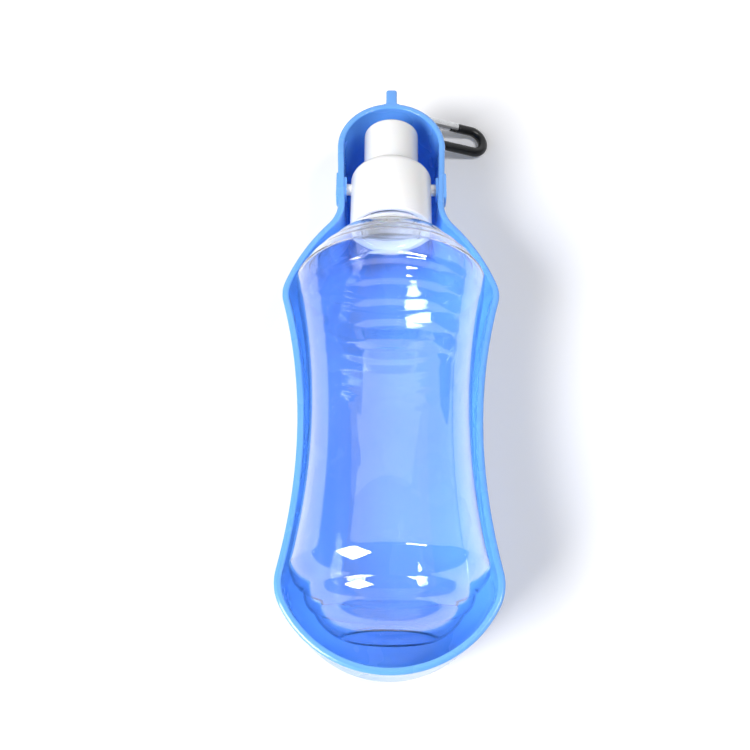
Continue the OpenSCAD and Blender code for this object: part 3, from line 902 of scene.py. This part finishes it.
    def pivot_pads(self, side: float) -> list[Shell]:
        """The boss outside the wall, and the pad inside that takes up most of the play beside the cap."""
        lay, sunk = self.layout, -0.7 * self.layout.tray_wall
        r, out = self.boss_radius, lay.boss_out
        boss = [(0, sunk), (r, sunk), (r, 0), (r, 0.4 * out), (r - 0.15, 0.8 * out)]
        boss += [(r - 0.5, out), (r - 3.8, out), (0, out)]
        s, into = self.pad_radius, -self.pad_in
        pad = [(0, 1.2), (s, 1.2), (s, 0.4 + into), (s - 0.12, 0.12 + into), (s - 0.4, into), (0, into)]
        wall = lay.pivot_half - lay.tray_wall - lay.lip_out
        return [
            self.disc(side, lay.pivot_half, boss, lay.rim_height - 0.35, 72),
            self.disc(side, wall, pad, lay.rim_height - 1.0, 64),
        ]

    def tab(self) -> Shell:
        """The hang tab: an upright plate with soft edges and hollow fillets where it leaves the head."""
        lay = self.layout
        half, soft = self.tab_width / 2, self.tab_round
        root, face, tip = lay.head_end - 2.2, lay.head_end - 0.35, lay.head_end + self.tab_out
        fillet = arc((half + soft, face + soft), soft, -90, -180, 5)
        corner = arc((half - soft, tip - soft), soft, 0, 90, 5)
        right = np.vstack([[[half + soft, root]], fillet, corner])
        points, faces = slab(np.vstack([right, right[::-1] * [-1, 1]]), self.tab_height / 2, 0.6)
        return points + [0, 0, lay.rim_height - self.tab_height / 2], faces

    def holes(self) -> bpy.types.Object:
        """The cutter for the trunnions' bores and for the slot, whose mouths slant towards the tip."""
        lay = self.layout
        reach = lay.pivot_half + 3
        ends = np.array([[-reach, lay.pivot_y, lay.axis_height], [reach, lay.pivot_y, lay.axis_height]])
        bore = tube(ends, lay.trunnion_radius + self.pin_clear, 48)
        angle = np.linspace(0, 2 * np.pi, 48, endpoint=False)
        shift = np.where(np.cos(angle) > 0.01, 2 * self.slot_slant, 0.0)
        y = lay.head_end + lay.slot_out + self.slot_radius * np.cos(angle) + shift
        rise = self.slot_rise * np.sign(np.sin(angle) + 1e-9)
        z = lay.slot_height + self.slot_radius * np.sin(angle) + rise
        rows = [np.stack([0 * angle + x, y, z], axis=-1) for x in (-self.tab_width, self.tab_width)]
        return make_object("holes", [bore, (np.stack(rows), capped_faces(2, len(angle)))])

    def build(self) -> None:
        """Makes the tray as one piece in place of its CAD node."""
        parts = [self.shell(), self.tab(), *self.pivot_pads(1.0), *self.pivot_pads(-1.0)]
        tray = make_object("tray_moulding", parts)
        carve(tray, self.holes())
        dress(tray, self.finish, Body.TRAY, Slot.TRAY, "tray_shell")


@dataclass
class Bottle(SubAssembly):
    """The blown squeeze bottle, with its ribs, rings, waves, beads, thread and foot."""

    neck_radius: float = 13.6
    wall: float = 0.9
    mouth: float = -0.9
    neck_end: float = 21.4
    seal_station: float = 16.6
    seal_groove: float = 0.3
    shoulder_start: tuple[float, float] = (16.6, 22.5)
    shoulder: tuple[float, float] = (40.2, 49.2)
    shoulder_bulge: float = 1.4
    rib_height: float = 1.0
    rib_fade: float = 2.6
    rib_stations: tuple[float, ...] = (31.9, 38.3, 42.9)
    band_end: tuple[float, float] = (39.3, 57.5)
    waist: tuple[float, float] = (32.6, 117.0)
    base: tuple[float, float] = (37.9, 170.2)
    wave_pitch: float = 8.2
    wave_depths: tuple[float, float] = (0.6, 0.38)
    wave_skew: float = 0.8
    waves_end: float = 95.0
    bowl_knots: tuple[tuple[float, float], ...] = ((31.84, 179.8), (27.66, 187.19), (18.6, 195.7))
    bowl_bulge: float = 1.2
    foot: tuple[float, float] = (17.0, 196.5)
    foot_softening: tuple[float, float] = (189.0, 4.0)
    dimple_depth: float = 4.0
    dimple_circle: float = 8.6
    circle_height: float = 0.35
    thread_ends: tuple[float, float] = (1.5, 12.5)
    thread_height: float = 1.0
    bead_stations: tuple[float, float, float] = (86.0, 112.0, 149.0)
    bead_angles: tuple[tuple[float, float, float], ...] = ((-34.0, -28.0, -12.5), (23.0, 27.2, 18.3))
    bead_arm: float = 33.0
    bead_height: float = 0.16
    segments: int = 180
    rings: int = 258
    neck_rings: int = 46

    def outer(self) -> np.ndarray:
        """Radius and station of the outside at fine even steps, from the mouth to the middle of the dimple.

        Straight neck with a seal groove; an arc for the shoulder, whose ribs step up and fade as
        exp(-distance / fade); the band; a circle through the waist; three bulging bands for the
        bowl; a foot ring; a dimple with a moulded circle.

        Returns:
            Array of radius and station.
        """
        station = np.linspace(self.mouth, self.neck_end, 90)
        neck = np.stack([np.full(90, self.neck_radius), station], axis=-1)
        neck[:, 0] -= self.seal_groove * np.clip(3 - 2 * np.abs(station - self.seal_station), 0, 1)
        shoulder = arc_bulge(self.shoulder_start, self.shoulder, self.shoulder_bulge, 200)
        ahead = shoulder[:, 1:] - np.array(self.rib_stations)
        steps = np.sign(ahead) * np.exp(-np.abs(ahead) / self.rib_fade)
        shoulder[:, 0] += steps.sum(axis=1) * self.rib_height / 2
        shoulder[-1] = self.shoulder
        middle = centre_of(self.band_end, self.waist, self.base)
        radius = np.linalg.norm(middle - self.band_end)
        station = np.linspace(self.band_end[1], self.base[1], 500)
        side = np.stack([middle[0] - np.sqrt(radius**2 - (station - middle[1]) ** 2), station], axis=-1)
        knots = (self.base, *self.bowl_knots)
        bowl = [arc_bulge(a, b, self.bowl_bulge, 30)[1:] for a, b in zip(knots, knots[1:])]
        rise = 2 * self.foot[0] - self.bowl_knots[-1][0]
        edge = (rise, self.bowl_knots[-1][1])
        across = np.linspace(0, 1, 60)
        low = self.foot[1] - self.dimple_depth
        dimple = np.stack([edge[0] * (1 - across), low + (edge[1] - low) * (1 - across) ** 2], axis=-1)
        dimple[:, 1] += self.circle_height * hump(dimple[:, 0] - self.dimple_circle, 0.6)
        path = np.vstack([neck, shoulder, side[1:], *bowl, [self.foot], dimple])
        path = graded_path(path, 1300, 0.0)
        crisp, soft = (np.stack([smoothed(row, width) for row in path.T], axis=-1) for width in (1.8, 5.0))
        at_foot = np.clip((crisp[:, 1:] - self.foot_softening[0]) / self.foot_softening[1], 0, 1)
        path = crisp + (soft - crisp) * at_foot
        path[-1, 0] = 0.0
        return path

    def shell(self) -> Shell:
        """The wall: the outside turned round the axis, and the same moved in by the wall's thickness.

        The radius is r(s) + d(a, s), where d is the relief of thread, beads and waves.

        Returns:
            Points and faces.
        """
        outside = self.outer()
        soft = np.stack([smoothed(row, 4) for row in outside.T], axis=-1)
        inside = soft + left_of(unit(np.gradient(soft, axis=0))) * self.wall
        inside[:, 0] = np.maximum(inside[:, 0], 0)
        inside[0, 1] = outside[0, 1]
        inside[-1, 0] = 0.0
        angle = np.linspace(0, 2 * np.pi, self.segments, endpoint=False)
        rows = []
        for path, share in ((outside, 1.0), (inside, 0.8)):
            neck = path[:, 1] < self.neck_end
            neck &= np.arange(len(path)) < len(path) // 2
            split = int(np.argmin(neck))
            upper = graded_path(path[: split + 1], self.neck_rings, 0.5)
            path = np.vstack([upper, graded_path(path[split:], self.rings - self.neck_rings, 3.0)[1:]])
            radius = path[:, :1] + self.relief(path[:, 1:], angle) * share * (path[:, :1] > 12)
            height = -path[:, 1:] + 0 * angle
            rows.append(np.stack([radius * np.cos(angle), radius * np.sin(angle), height], axis=-1))
        rows = np.vstack([rows[0], rows[1][::-1], rows[0][:1]])
        return self.layout.laid((rows, grid_faces(len(rows), self.segments)))

    def relief(self, station: np.ndarray, angle: np.ndarray) -> np.ndarray:
        """Height of the thread and the two moulded beads over the turned outside, less the squeeze waves.

        The thread's crest follows station = pitch (0.5 - a / 2 pi). The beads lie on top, along
        two parabolas of angle over station. The waves are (1 + cos(t - k cos t)) / 2 with t the
        turn of the station: long slopes towards the foot, short ones back. They run out at both flanks.

        Args:
            station: Stations down one side of the grid.
            angle: Angles round the axis, from the right side through the underside.

        Returns:
            Heights for each station and angle.
        """
        pitch = self.layout.thread_pitch
        phase = (station / pitch + angle / (2 * np.pi)) % 1.0
        first, last = self.thread_ends
        fade = np.clip(np.minimum(station - first, last - station) / 2.0, 0, 1)
        thread = self.thread_height * hump((phase - 0.5) * pitch, 0.75) * fade
        top = (angle + 1.5 * np.pi) % (2 * np.pi) - np.pi
        lines = [np.polyval(np.polyfit(self.bead_stations, a, 2), station) for a in self.bead_angles]
        bead = sum(hump((top - np.radians(line)) * self.bead_arm, 0.9) for line in lines)
        ends = np.minimum(station - self.bead_stations[0] - 4, self.bead_stations[-1] - station)
        bead = bead * np.clip(ends / 12, 0, 1)
        crease = self.band_end[1] + 0.6
        depth = np.interp(station, [crease, self.waves_end], self.wave_depths)
        depth = depth * np.clip((self.waves_end + 4 - station) / 6, 0, 1)
        depth = depth * np.clip((station - self.band_end[1]) / 0.6, 0, 1)
        depth = depth * np.clip((0.86 - np.abs(np.sin(top))) / 0.4, 0, 1)
        turn = 2 * np.pi * (station - crease) / self.wave_pitch
        waves = depth * (1 + np.cos(turn - self.wave_skew * np.cos(turn))) / 2
        return thread + self.bead_height * bead - waves

    def build(self) -> None:
        """Makes the bottle as one piece in place of its CAD node."""
        bottle = make_object("bottle_blown_shell", [self.shell()], 60.0)
        dress(bottle, self.finish, Body.BOTTLE, Slot.BOTTLE, "bottle_shell")


@dataclass
class Cap(SubAssembly):
    """The white cap with its threaded skirt, domed deck, fixed spout and two trunnions."""

    radius: float = 17.9
    skirt_bore: float = 15.6
    skirt_station: float = 21.6
    dome: float = 7.8
    dome_round: float = 4.2
    deck: float = 1.2
    spout_radius: float = 8.4
    spout_bore: float = 4.9
    spout_end: float = 19.4
    groove_radius: float = 6.65
    groove_middle: float = 13.6
    groove_half: float = 0.9
    trunnion_sunk: float = 0.5
    thread_turns: tuple[float, float] = (-1170, -225)
    thread_radius: float = 1.15
    segments: int = 144

    def body(self) -> Shell:
        """Skirt, dome, deck and spout, turned from one profile whose corners are softened."""
        r = self.dome_round
        dome = arc((self.radius - r, self.dome - r), r, 0, 90, 12)
        low, high = self.groove_middle - self.groove_half, self.groove_middle + self.groove_half
        profile = [
            *[(self.skirt_bore, -self.skirt_station), (self.radius, -self.skirt_station)],
            *[*dome.tolist(), (self.spout_radius, self.dome), (self.spout_radius, low)],
            *[(self.groove_radius, low), (self.groove_radius, high), (self.spout_radius, high)],
            *[(self.spout_radius, self.spout_end), (self.spout_bore, self.spout_end)],
            *[(self.spout_bore, self.deck), (self.skirt_bore, self.deck)],
        ]
        return lathe(rounded(profile, 0.45), self.segments)

    def thread(self) -> Shell:
        """The thread inside the skirt: a ridge along station = -pitch a / 2 pi, sunk at its ends."""
        angle = np.radians(np.arange(*self.thread_turns, 7.5))
        station = -self.layout.thread_pitch * angle / (2 * np.pi)
        to_end = np.minimum(angle - angle[0], angle[-1] - angle)
        radius = self.skirt_bore + 0.25 + 0.9 * np.clip(1 - to_end / 0.6, 0, 1)
        path = np.stack([radius * np.cos(angle), radius * np.sin(angle), -station], axis=-1)
        return tube(path, self.thread_radius, 12)

    def trunnion(self, side: float) -> Shell:
        """A trunnion from inside the skirt's wall to just under the face of the tray's boss."""
        lay = self.layout
        end = lay.pivot_half + lay.boss_out - self.trunnion_sunk
        places = side * np.array([self.radius - 1.1, end - 0.4])
        path = np.stack([places, 0 * places, 0 * places], axis=-1)
        return tube(path, lay.trunnion_radius, 40, 0.4)

    def build(self) -> None:
        """Makes the cap as one piece in place of its CAD node."""
        shells = (self.body(), self.thread(), self.trunnion(1.0), self.trunnion(-1.0))
        cap = make_object("cap_moulding", [self.layout.laid(shell) for shell in shells])
        dress(cap, self.finish, Body.CAP, Slot.CAP, "cap_body")


@dataclass
class Nozzle(SubAssembly):
    """The twist nozzle: a thin sleeve with a flange at its foot and a flared outlet."""

    bore: float = 8.75
    foot: float = 8.1
    flange_radius: float = 13.5
    flange_height: float = 1.3
    hollow: float = 0.9
    radius: float = 12.2
    tip: float = 30.5
    tip_round: float = 1.6
    end_inside: float = 28.0
    outlet: float = 3.6
    outlet_flare: float = 0.6
    segments: int = 144

    def build(self) -> None:
        """Makes the nozzle as one piece in place of its CAD node."""
        top, r = self.foot + self.flange_height, self.tip_round
        tip = arc((self.radius - r, self.tip - r), r, 0, 90, 8)
        hollow = arc((self.radius + self.hollow, top + self.hollow), self.hollow, -90, -180, 6)
        profile = [
            *[(self.bore, self.foot), (self.flange_radius, self.foot), (self.flange_radius, top)],
            *[*hollow.tolist(), *tip.tolist(), (self.outlet + self.outlet_flare, self.tip)],
            *[(self.outlet, self.tip - self.outlet_flare), (self.outlet, self.end_inside)],
            (self.bore, self.end_inside),
        ]
        sleeve = self.layout.laid(lathe(rounded(profile, 0.3), self.segments))
        nozzle = make_object("nozzle_moulding", [sleeve])
        dress(nozzle, self.finish, Body.NOZZLE, Slot.CAP, "nozzle_sleeve")


@dataclass
class ValvePlug(SubAssembly):
    """The valve plug: a fluted stem, a disc that carries the seal, and a nose in the outlet."""

    disc_station: float = 22.7
    disc_radius: float = 6.2
    disc_height: float = 1.6
    stem_radius: float = 4.6
    stem_length: float = 12.6
    flute_half: float = 1.5
    flute_floor: float = 2.3
    nose_radius: float = 3.3
    nose_end: float = 29.8

    def stem(self) -> Shell:
        """The stem: a round bar with three flat-bottomed flutes."""
        side = np.sqrt(self.stem_radius**2 - self.flute_half**2)
        first = np.arctan2(self.flute_half, side)
        section = []
        for middle in np.radians([0, 120, 240]):
            turn = np.array([[np.cos(middle), np.sin(middle)], [-np.sin(middle), np.cos(middle)]])
            flute = [(side, -self.flute_half), (self.flute_floor, -self.flute_half)]
            flute += [(self.flute_floor, self.flute_half), (side, self.flute_half)]
            angle = np.linspace(first, np.radians(120) - first, 12)[1:-1]
            land = self.stem_radius * np.stack([np.cos(angle), np.sin(angle)], axis=-1)
            section.append(np.vstack([flute, land]) @ turn)
        outline = rounded(np.vstack(section).tolist(), 0.3)
        points, faces = slab(outline, self.stem_length / 2 + 0.3, 0.3)
        return points + [0, 0, self.disc_station - self.stem_length / 2 + 0.3], faces

    def build(self) -> None:
        """Makes the plug as one piece in place of its CAD node."""
        low, high = self.disc_station, self.disc_station + self.disc_height
        profile = [(0.0, low), (self.disc_radius, low), (self.disc_radius, high)]
        profile += [(self.nose_radius, high), (self.nose_radius, self.nose_end), (0.0, self.nose_end)]
        soft = rounded(profile, 0.35)
        soft[:, 0] = np.where(soft[:, 0] < 0.4, 0.0, soft[:, 0])
        plug = make_object("plug_moulding", [self.layout.laid(s) for s in (self.stem(), lathe(soft, 72))])
        dress(plug, self.finish, Body.PLUG, Slot.CAP, "valve_plug")


@dataclass
class Carabiner(SubAssembly):
    """The carabiner: a bent rod with two tangs, a riveted gate, its catch pin and its spring."""

    metal: bpy.types.Material
    rod_radius: float = 2.3
    bend_radius: float = 6.5
    straight: float = 44.8
    tilt: float = 23.067
    yaw: float = 4.2
    stub_end: float = 7.479
    nose_start: float = 37.7
    rivet: float = 11.0
    rivet_radius: float = 0.9
    tang_half: float = 0.767
    tang_high: float = 1.495
    tang_past: float = 1.8
    nose_tang: tuple[float, float] = (33.9, 38.9)
    pin: float = 35.5
    notch_half: float = 0.9
    spring_start: float = 13.64
    spring_radius: float = 0.93
    spring_wire: float = 0.27
    spring_turns: float = 9.0
    spring_length: float = 4.86

    def placed(self, shell: Shell) -> Shell:
        """Turns a shell from the carabiner's own plane, u along it and v across it, into its place."""
        tilt, yaw = np.radians([self.tilt, self.yaw])
        along = np.array([np.cos(tilt) * np.cos(yaw), np.cos(tilt) * np.sin(yaw), -np.sin(tilt)])
        across = np.array([-np.sin(yaw), np.cos(yaw), 0.0])
        lay = self.layout
        middle = np.array([0.0, lay.head_end + lay.slot_out + self.bend_radius, lay.slot_height])
        return middle + shell[0] @ np.array([along, across, np.cross(along, across)]), shell[1]

    def rod(self) -> Shell:
        """The rod: from the nose round the far bend, down the spine and round the near bend to the stub."""
        far, near, r = np.array([self.straight, 0.0]), np.zeros(2), self.bend_radius
        bend = arc((0, 0), r, 90, -90, 48)
        nose, stub = [[self.nose_start + 0.3, r]], [[self.stub_end - 0.3, r]]
        path = graded_path(np.vstack([nose, far + bend, near - bend, stub]), 190, 9.0)
        return tube(np.c_[path, np.zeros(len(path))], self.rod_radius, 36, 0.3)

    def tangs(self) -> list[Shell]:
        """The flat tang that the gate turns on, with a round end, and the notched one for the pin."""
        low, high = self.bend_radius - self.tang_high, self.bend_radius + self.tang_high
        first, last = self.stub_end - 1, self.rivet + self.tang_past
        hinge = rounded([(first, low), (last, low), (last, high), (first, high)], 1.1, 6)
        start, end = self.nose_tang
        left, right = self.pin - self.notch_half, self.pin + self.notch_half
        floor = self.bend_radius + self.notch_half
        hook = [(start, low), (left, low), (left, floor), (right, floor), (right, low), (end, low)]
        nose = rounded([*hook, (end, high), (start, high)], 0.5, 4)
        return [slab(outline, self.tang_half, 0.15) for outline in (hinge, nose)]

    def spring(self) -> Shell:
        """The gate's spring: a wire along (u, r cos a, r sin a), with u growing evenly with the angle a."""
        angle = np.linspace(0, 2 * np.pi * self.spring_turns, int(28 * self.spring_turns))
        u = self.spring_start + self.spring_wire + self.spring_length * angle / angle[-1]
        around = self.spring_radius * np.stack([np.cos(angle), np.sin(angle)], axis=-1)
        path = np.c_[u, self.bend_radius + around[:, 0], around[:, 1]]
        return tube(path, self.spring_wire, 8, 0.1)

    def rivet_shell(self) -> Shell:
        """The gate's rivet: a shank with a low domed head at both ends, turned round its own axis."""
        head, reach = 1.4 * self.rivet_radius, self.rod_radius + 0.05
        turn = np.radians(np.linspace(0, 90, 6))
        dome = np.stack([head * np.cos(turn), reach + 0.1 + 0.2 * np.sin(turn)], axis=-1)
        half = np.vstack([[[self.rivet_radius, reach], [head, reach]], dome])
        half[-1, 0] = 0.0
        profile = np.vstack([half, half[::-1] * [1, -1]])
        points, faces = lathe(profile, 32)
        return points + [self.rivet, self.bend_radius, 0], faces

    def build(self) -> None:
        """Makes the rod, the rivet and the spring in place of their CAD nodes."""
        rod = make_object("carabiner_rod", [self.placed(s) for s in (self.rod(), *self.tangs())])
        ends = np.array([[self.rivet, self.bend_radius, -3.0], [self.rivet, self.bend_radius, 3.0]])
        carve(rod, make_object("hole", [self.placed(tube(ends, self.rivet_radius + 0.05, 32))]))
        dress(rod, self.finish, Body.CARABINER, Slot.FRAME, "carabiner_frame")
        rivet = make_object("gate_rivet_domed", [self.placed(self.rivet_shell())])
        dress(rivet, self.metal, Body.CARABINER, Slot.PIN, "gate_rivet")
        spring = make_object("gate_spring_wire", [self.placed(self.spring())])
        dress(spring, self.metal, Body.GATE, Slot.PIN, "gate_spring")


@dataclass(frozen=True)
class Softbox:
    """A soft lamp: place, size, power in watts, and whether clear walls let its image through."""

    name: str
    place: tuple[float, float, float]
    size: tuple[float, float]
    power: float
    through_walls: bool = True


@dataclass
class Studio:
    """Paper floor and sweep, soft lamps, pale surroundings and the camera."""

    lens: float = 45.6
    sensor: float = 36.0
    aim: tuple[float, float, float] = (-6.23, -11.35, 47.0)
    distance: float = 382.0
    elevation: float = 65.3
    azimuth: float = 0.6
    floor_half: float = 700.0
    sweep_start: float = 430.0
    sweep_round: float = 260.0
    sweep_top: float = 600.0
    canopy_edge: tuple[float, float] = (330.0, 1300.0)
    sweep_sides: tuple[float, float] = (-800.0, 1700.0)
    lamp_target: tuple[float, float, float] = (0.0, 0.0, 40.0)
    world_colour: str = "f5f5f6"
    world_strength: float = 0.08
    world_seen: float = 0.45
    lamps: tuple[Softbox, ...] = (
        Softbox("left_softbox", (-540.0, -420.0, 630.0), (480.0, 400.0), 10.0),
        Softbox("right_softbox", (340.0, -70.0, 700.0), (120.0, 290.0), 2.6, False),
    )

    def build_camera(self) -> None:
        """Places the camera where the fitted lens stood."""
        tilt, turn = np.radians(self.elevation), np.radians(self.azimuth)
        away = Vector((np.cos(tilt) * np.sin(turn), -np.cos(tilt) * np.cos(turn), np.sin(tilt)))
        data = bpy.data.cameras.new("camera")
        data.sensor_width = self.sensor
        data.lens = self.lens
        data.clip_start = 0.01
        camera = bpy.data.objects.new("camera", data)
        bpy.context.scene.collection.objects.link(camera)
        camera.location = (Vector(self.aim) + away * self.distance) * MM
        camera.rotation_euler = (-away).to_track_quat("-Z", "Y").to_euler()
        bpy.context.scene.camera = camera

    def build_paper(self) -> None:
        """Lays the paper under the object and bends it up behind it, in a quarter circle, and over it."""
        bend = arc((self.sweep_start, self.sweep_round), self.sweep_round, -90, 0, 24)
        floor = np.array([[-self.floor_half, 0.0], bend[0]])
        sweep = np.vstack([bend, [[bend[-1, 0], self.sweep_top]], self.canopy_edge])
        floor_sides = (-self.floor_half, self.floor_half)
        for section, sides, finish in (
            (floor, floor_sides, StudioPaper("paper_floor", "f1f1f3", 0.16)),
            (sweep, self.sweep_sides, StudioPaper("paper_sweep", "9a9a9c", 0.75)),
        ):
            points = np.stack([np.c_[np.full(len(section), x), section] for x in sides])
            count = len(section)
            faces = [[i, i + count, i + count + 1, i + 1] for i in range(count - 1)]
            paper = make_object(finish.name, [(points, faces)])
            paper.data.materials.append(finish.material())

    def build_lamps(self) -> None:
        """Hangs the soft lamps, each turned to the middle of the object."""
        for box in self.lamps:
            data = bpy.data.lights.new(box.name, "AREA")
            data.shape = "RECTANGLE"
            data.size, data.size_y = (s * MM for s in box.size)
            data.energy = box.power
            lamp = bpy.data.objects.new(box.name, data)
            bpy.context.scene.collection.objects.link(lamp)
            lamp.visible_transmission = box.through_walls
            lamp.location = Vector(box.place) * MM
            towards = Vector(box.place) - Vector(self.lamp_target)
            lamp.rotation_euler = towards.to_track_quat("Z", "Y").to_euler()

    def build_world(self) -> None:
        """Surrounds the scene with a faint even light; the lens sees it paler, also through clear walls."""
        world = bpy.data.worlds.new("studio")
        bpy.context.scene.world = world
        world.use_nodes = True
        tree = world.node_tree
        tree.nodes.clear()
        seen = seen_by(tree, "Is Camera Ray", "Is Transmission Ray")
        strength = add_node(tree, "MapRange", {0: seen, 3: self.world_strength, 4: self.world_seen})
        inputs = {"Color": linear(self.world_colour), "Strength": strength.outputs[0]}
        glow = add_node(tree, "Background", inputs)
        add_node(tree, "OutputWorld", {"Surface": glow.outputs[0]})

    def build(self) -> None:
        """Sets up the whole studio."""
        self.build_camera()
        self.build_paper()
        self.build_lamps()
        self.build_world()
        bpy.context.scene.view_settings.view_transform = "Standard"


def main() -> None:
    """Builds the sub-assemblies in order, then gives the CAD nodes that stay their finishes."""
    logging.basicConfig(level=logging.INFO, format="%(message)s")
    layout = Layout()
    tray_blue = MouldedPlastic("tray_polypropylene", "6cadf9", "66a7f7", 0.26, coat=0.6).material()
    cap_white = MouldedPlastic("cap_abs", "f7f7f7", "f3f3f4", 0.16, subsurface=0.25).material()
    rubber = SiliconeRubber().material()
    aluminium = DrawnMetal("drawn_aluminium", "e9eaec", "cfd2d6", 0.36).material()
    Studio().build()
    Tray(layout, tray_blue).build()
    Bottle(layout, BlownCopolyester().material()).build()
    Cap(layout, cap_white).build()
    Nozzle(layout, cap_white).build()
    ValvePlug(layout, cap_white).build()
    Carabiner(layout, BlackLacquer().material(), aluminium).build()
    for node in ("neck_seal", "neck_gasket", "nozzle_seal", "plug_seal"):
        dress_node(node, rubber)
    for node in ("gate_tube", "latch_pin"):
        dress_node(node, aluminium)


if __name__ == "__main__":
    main()
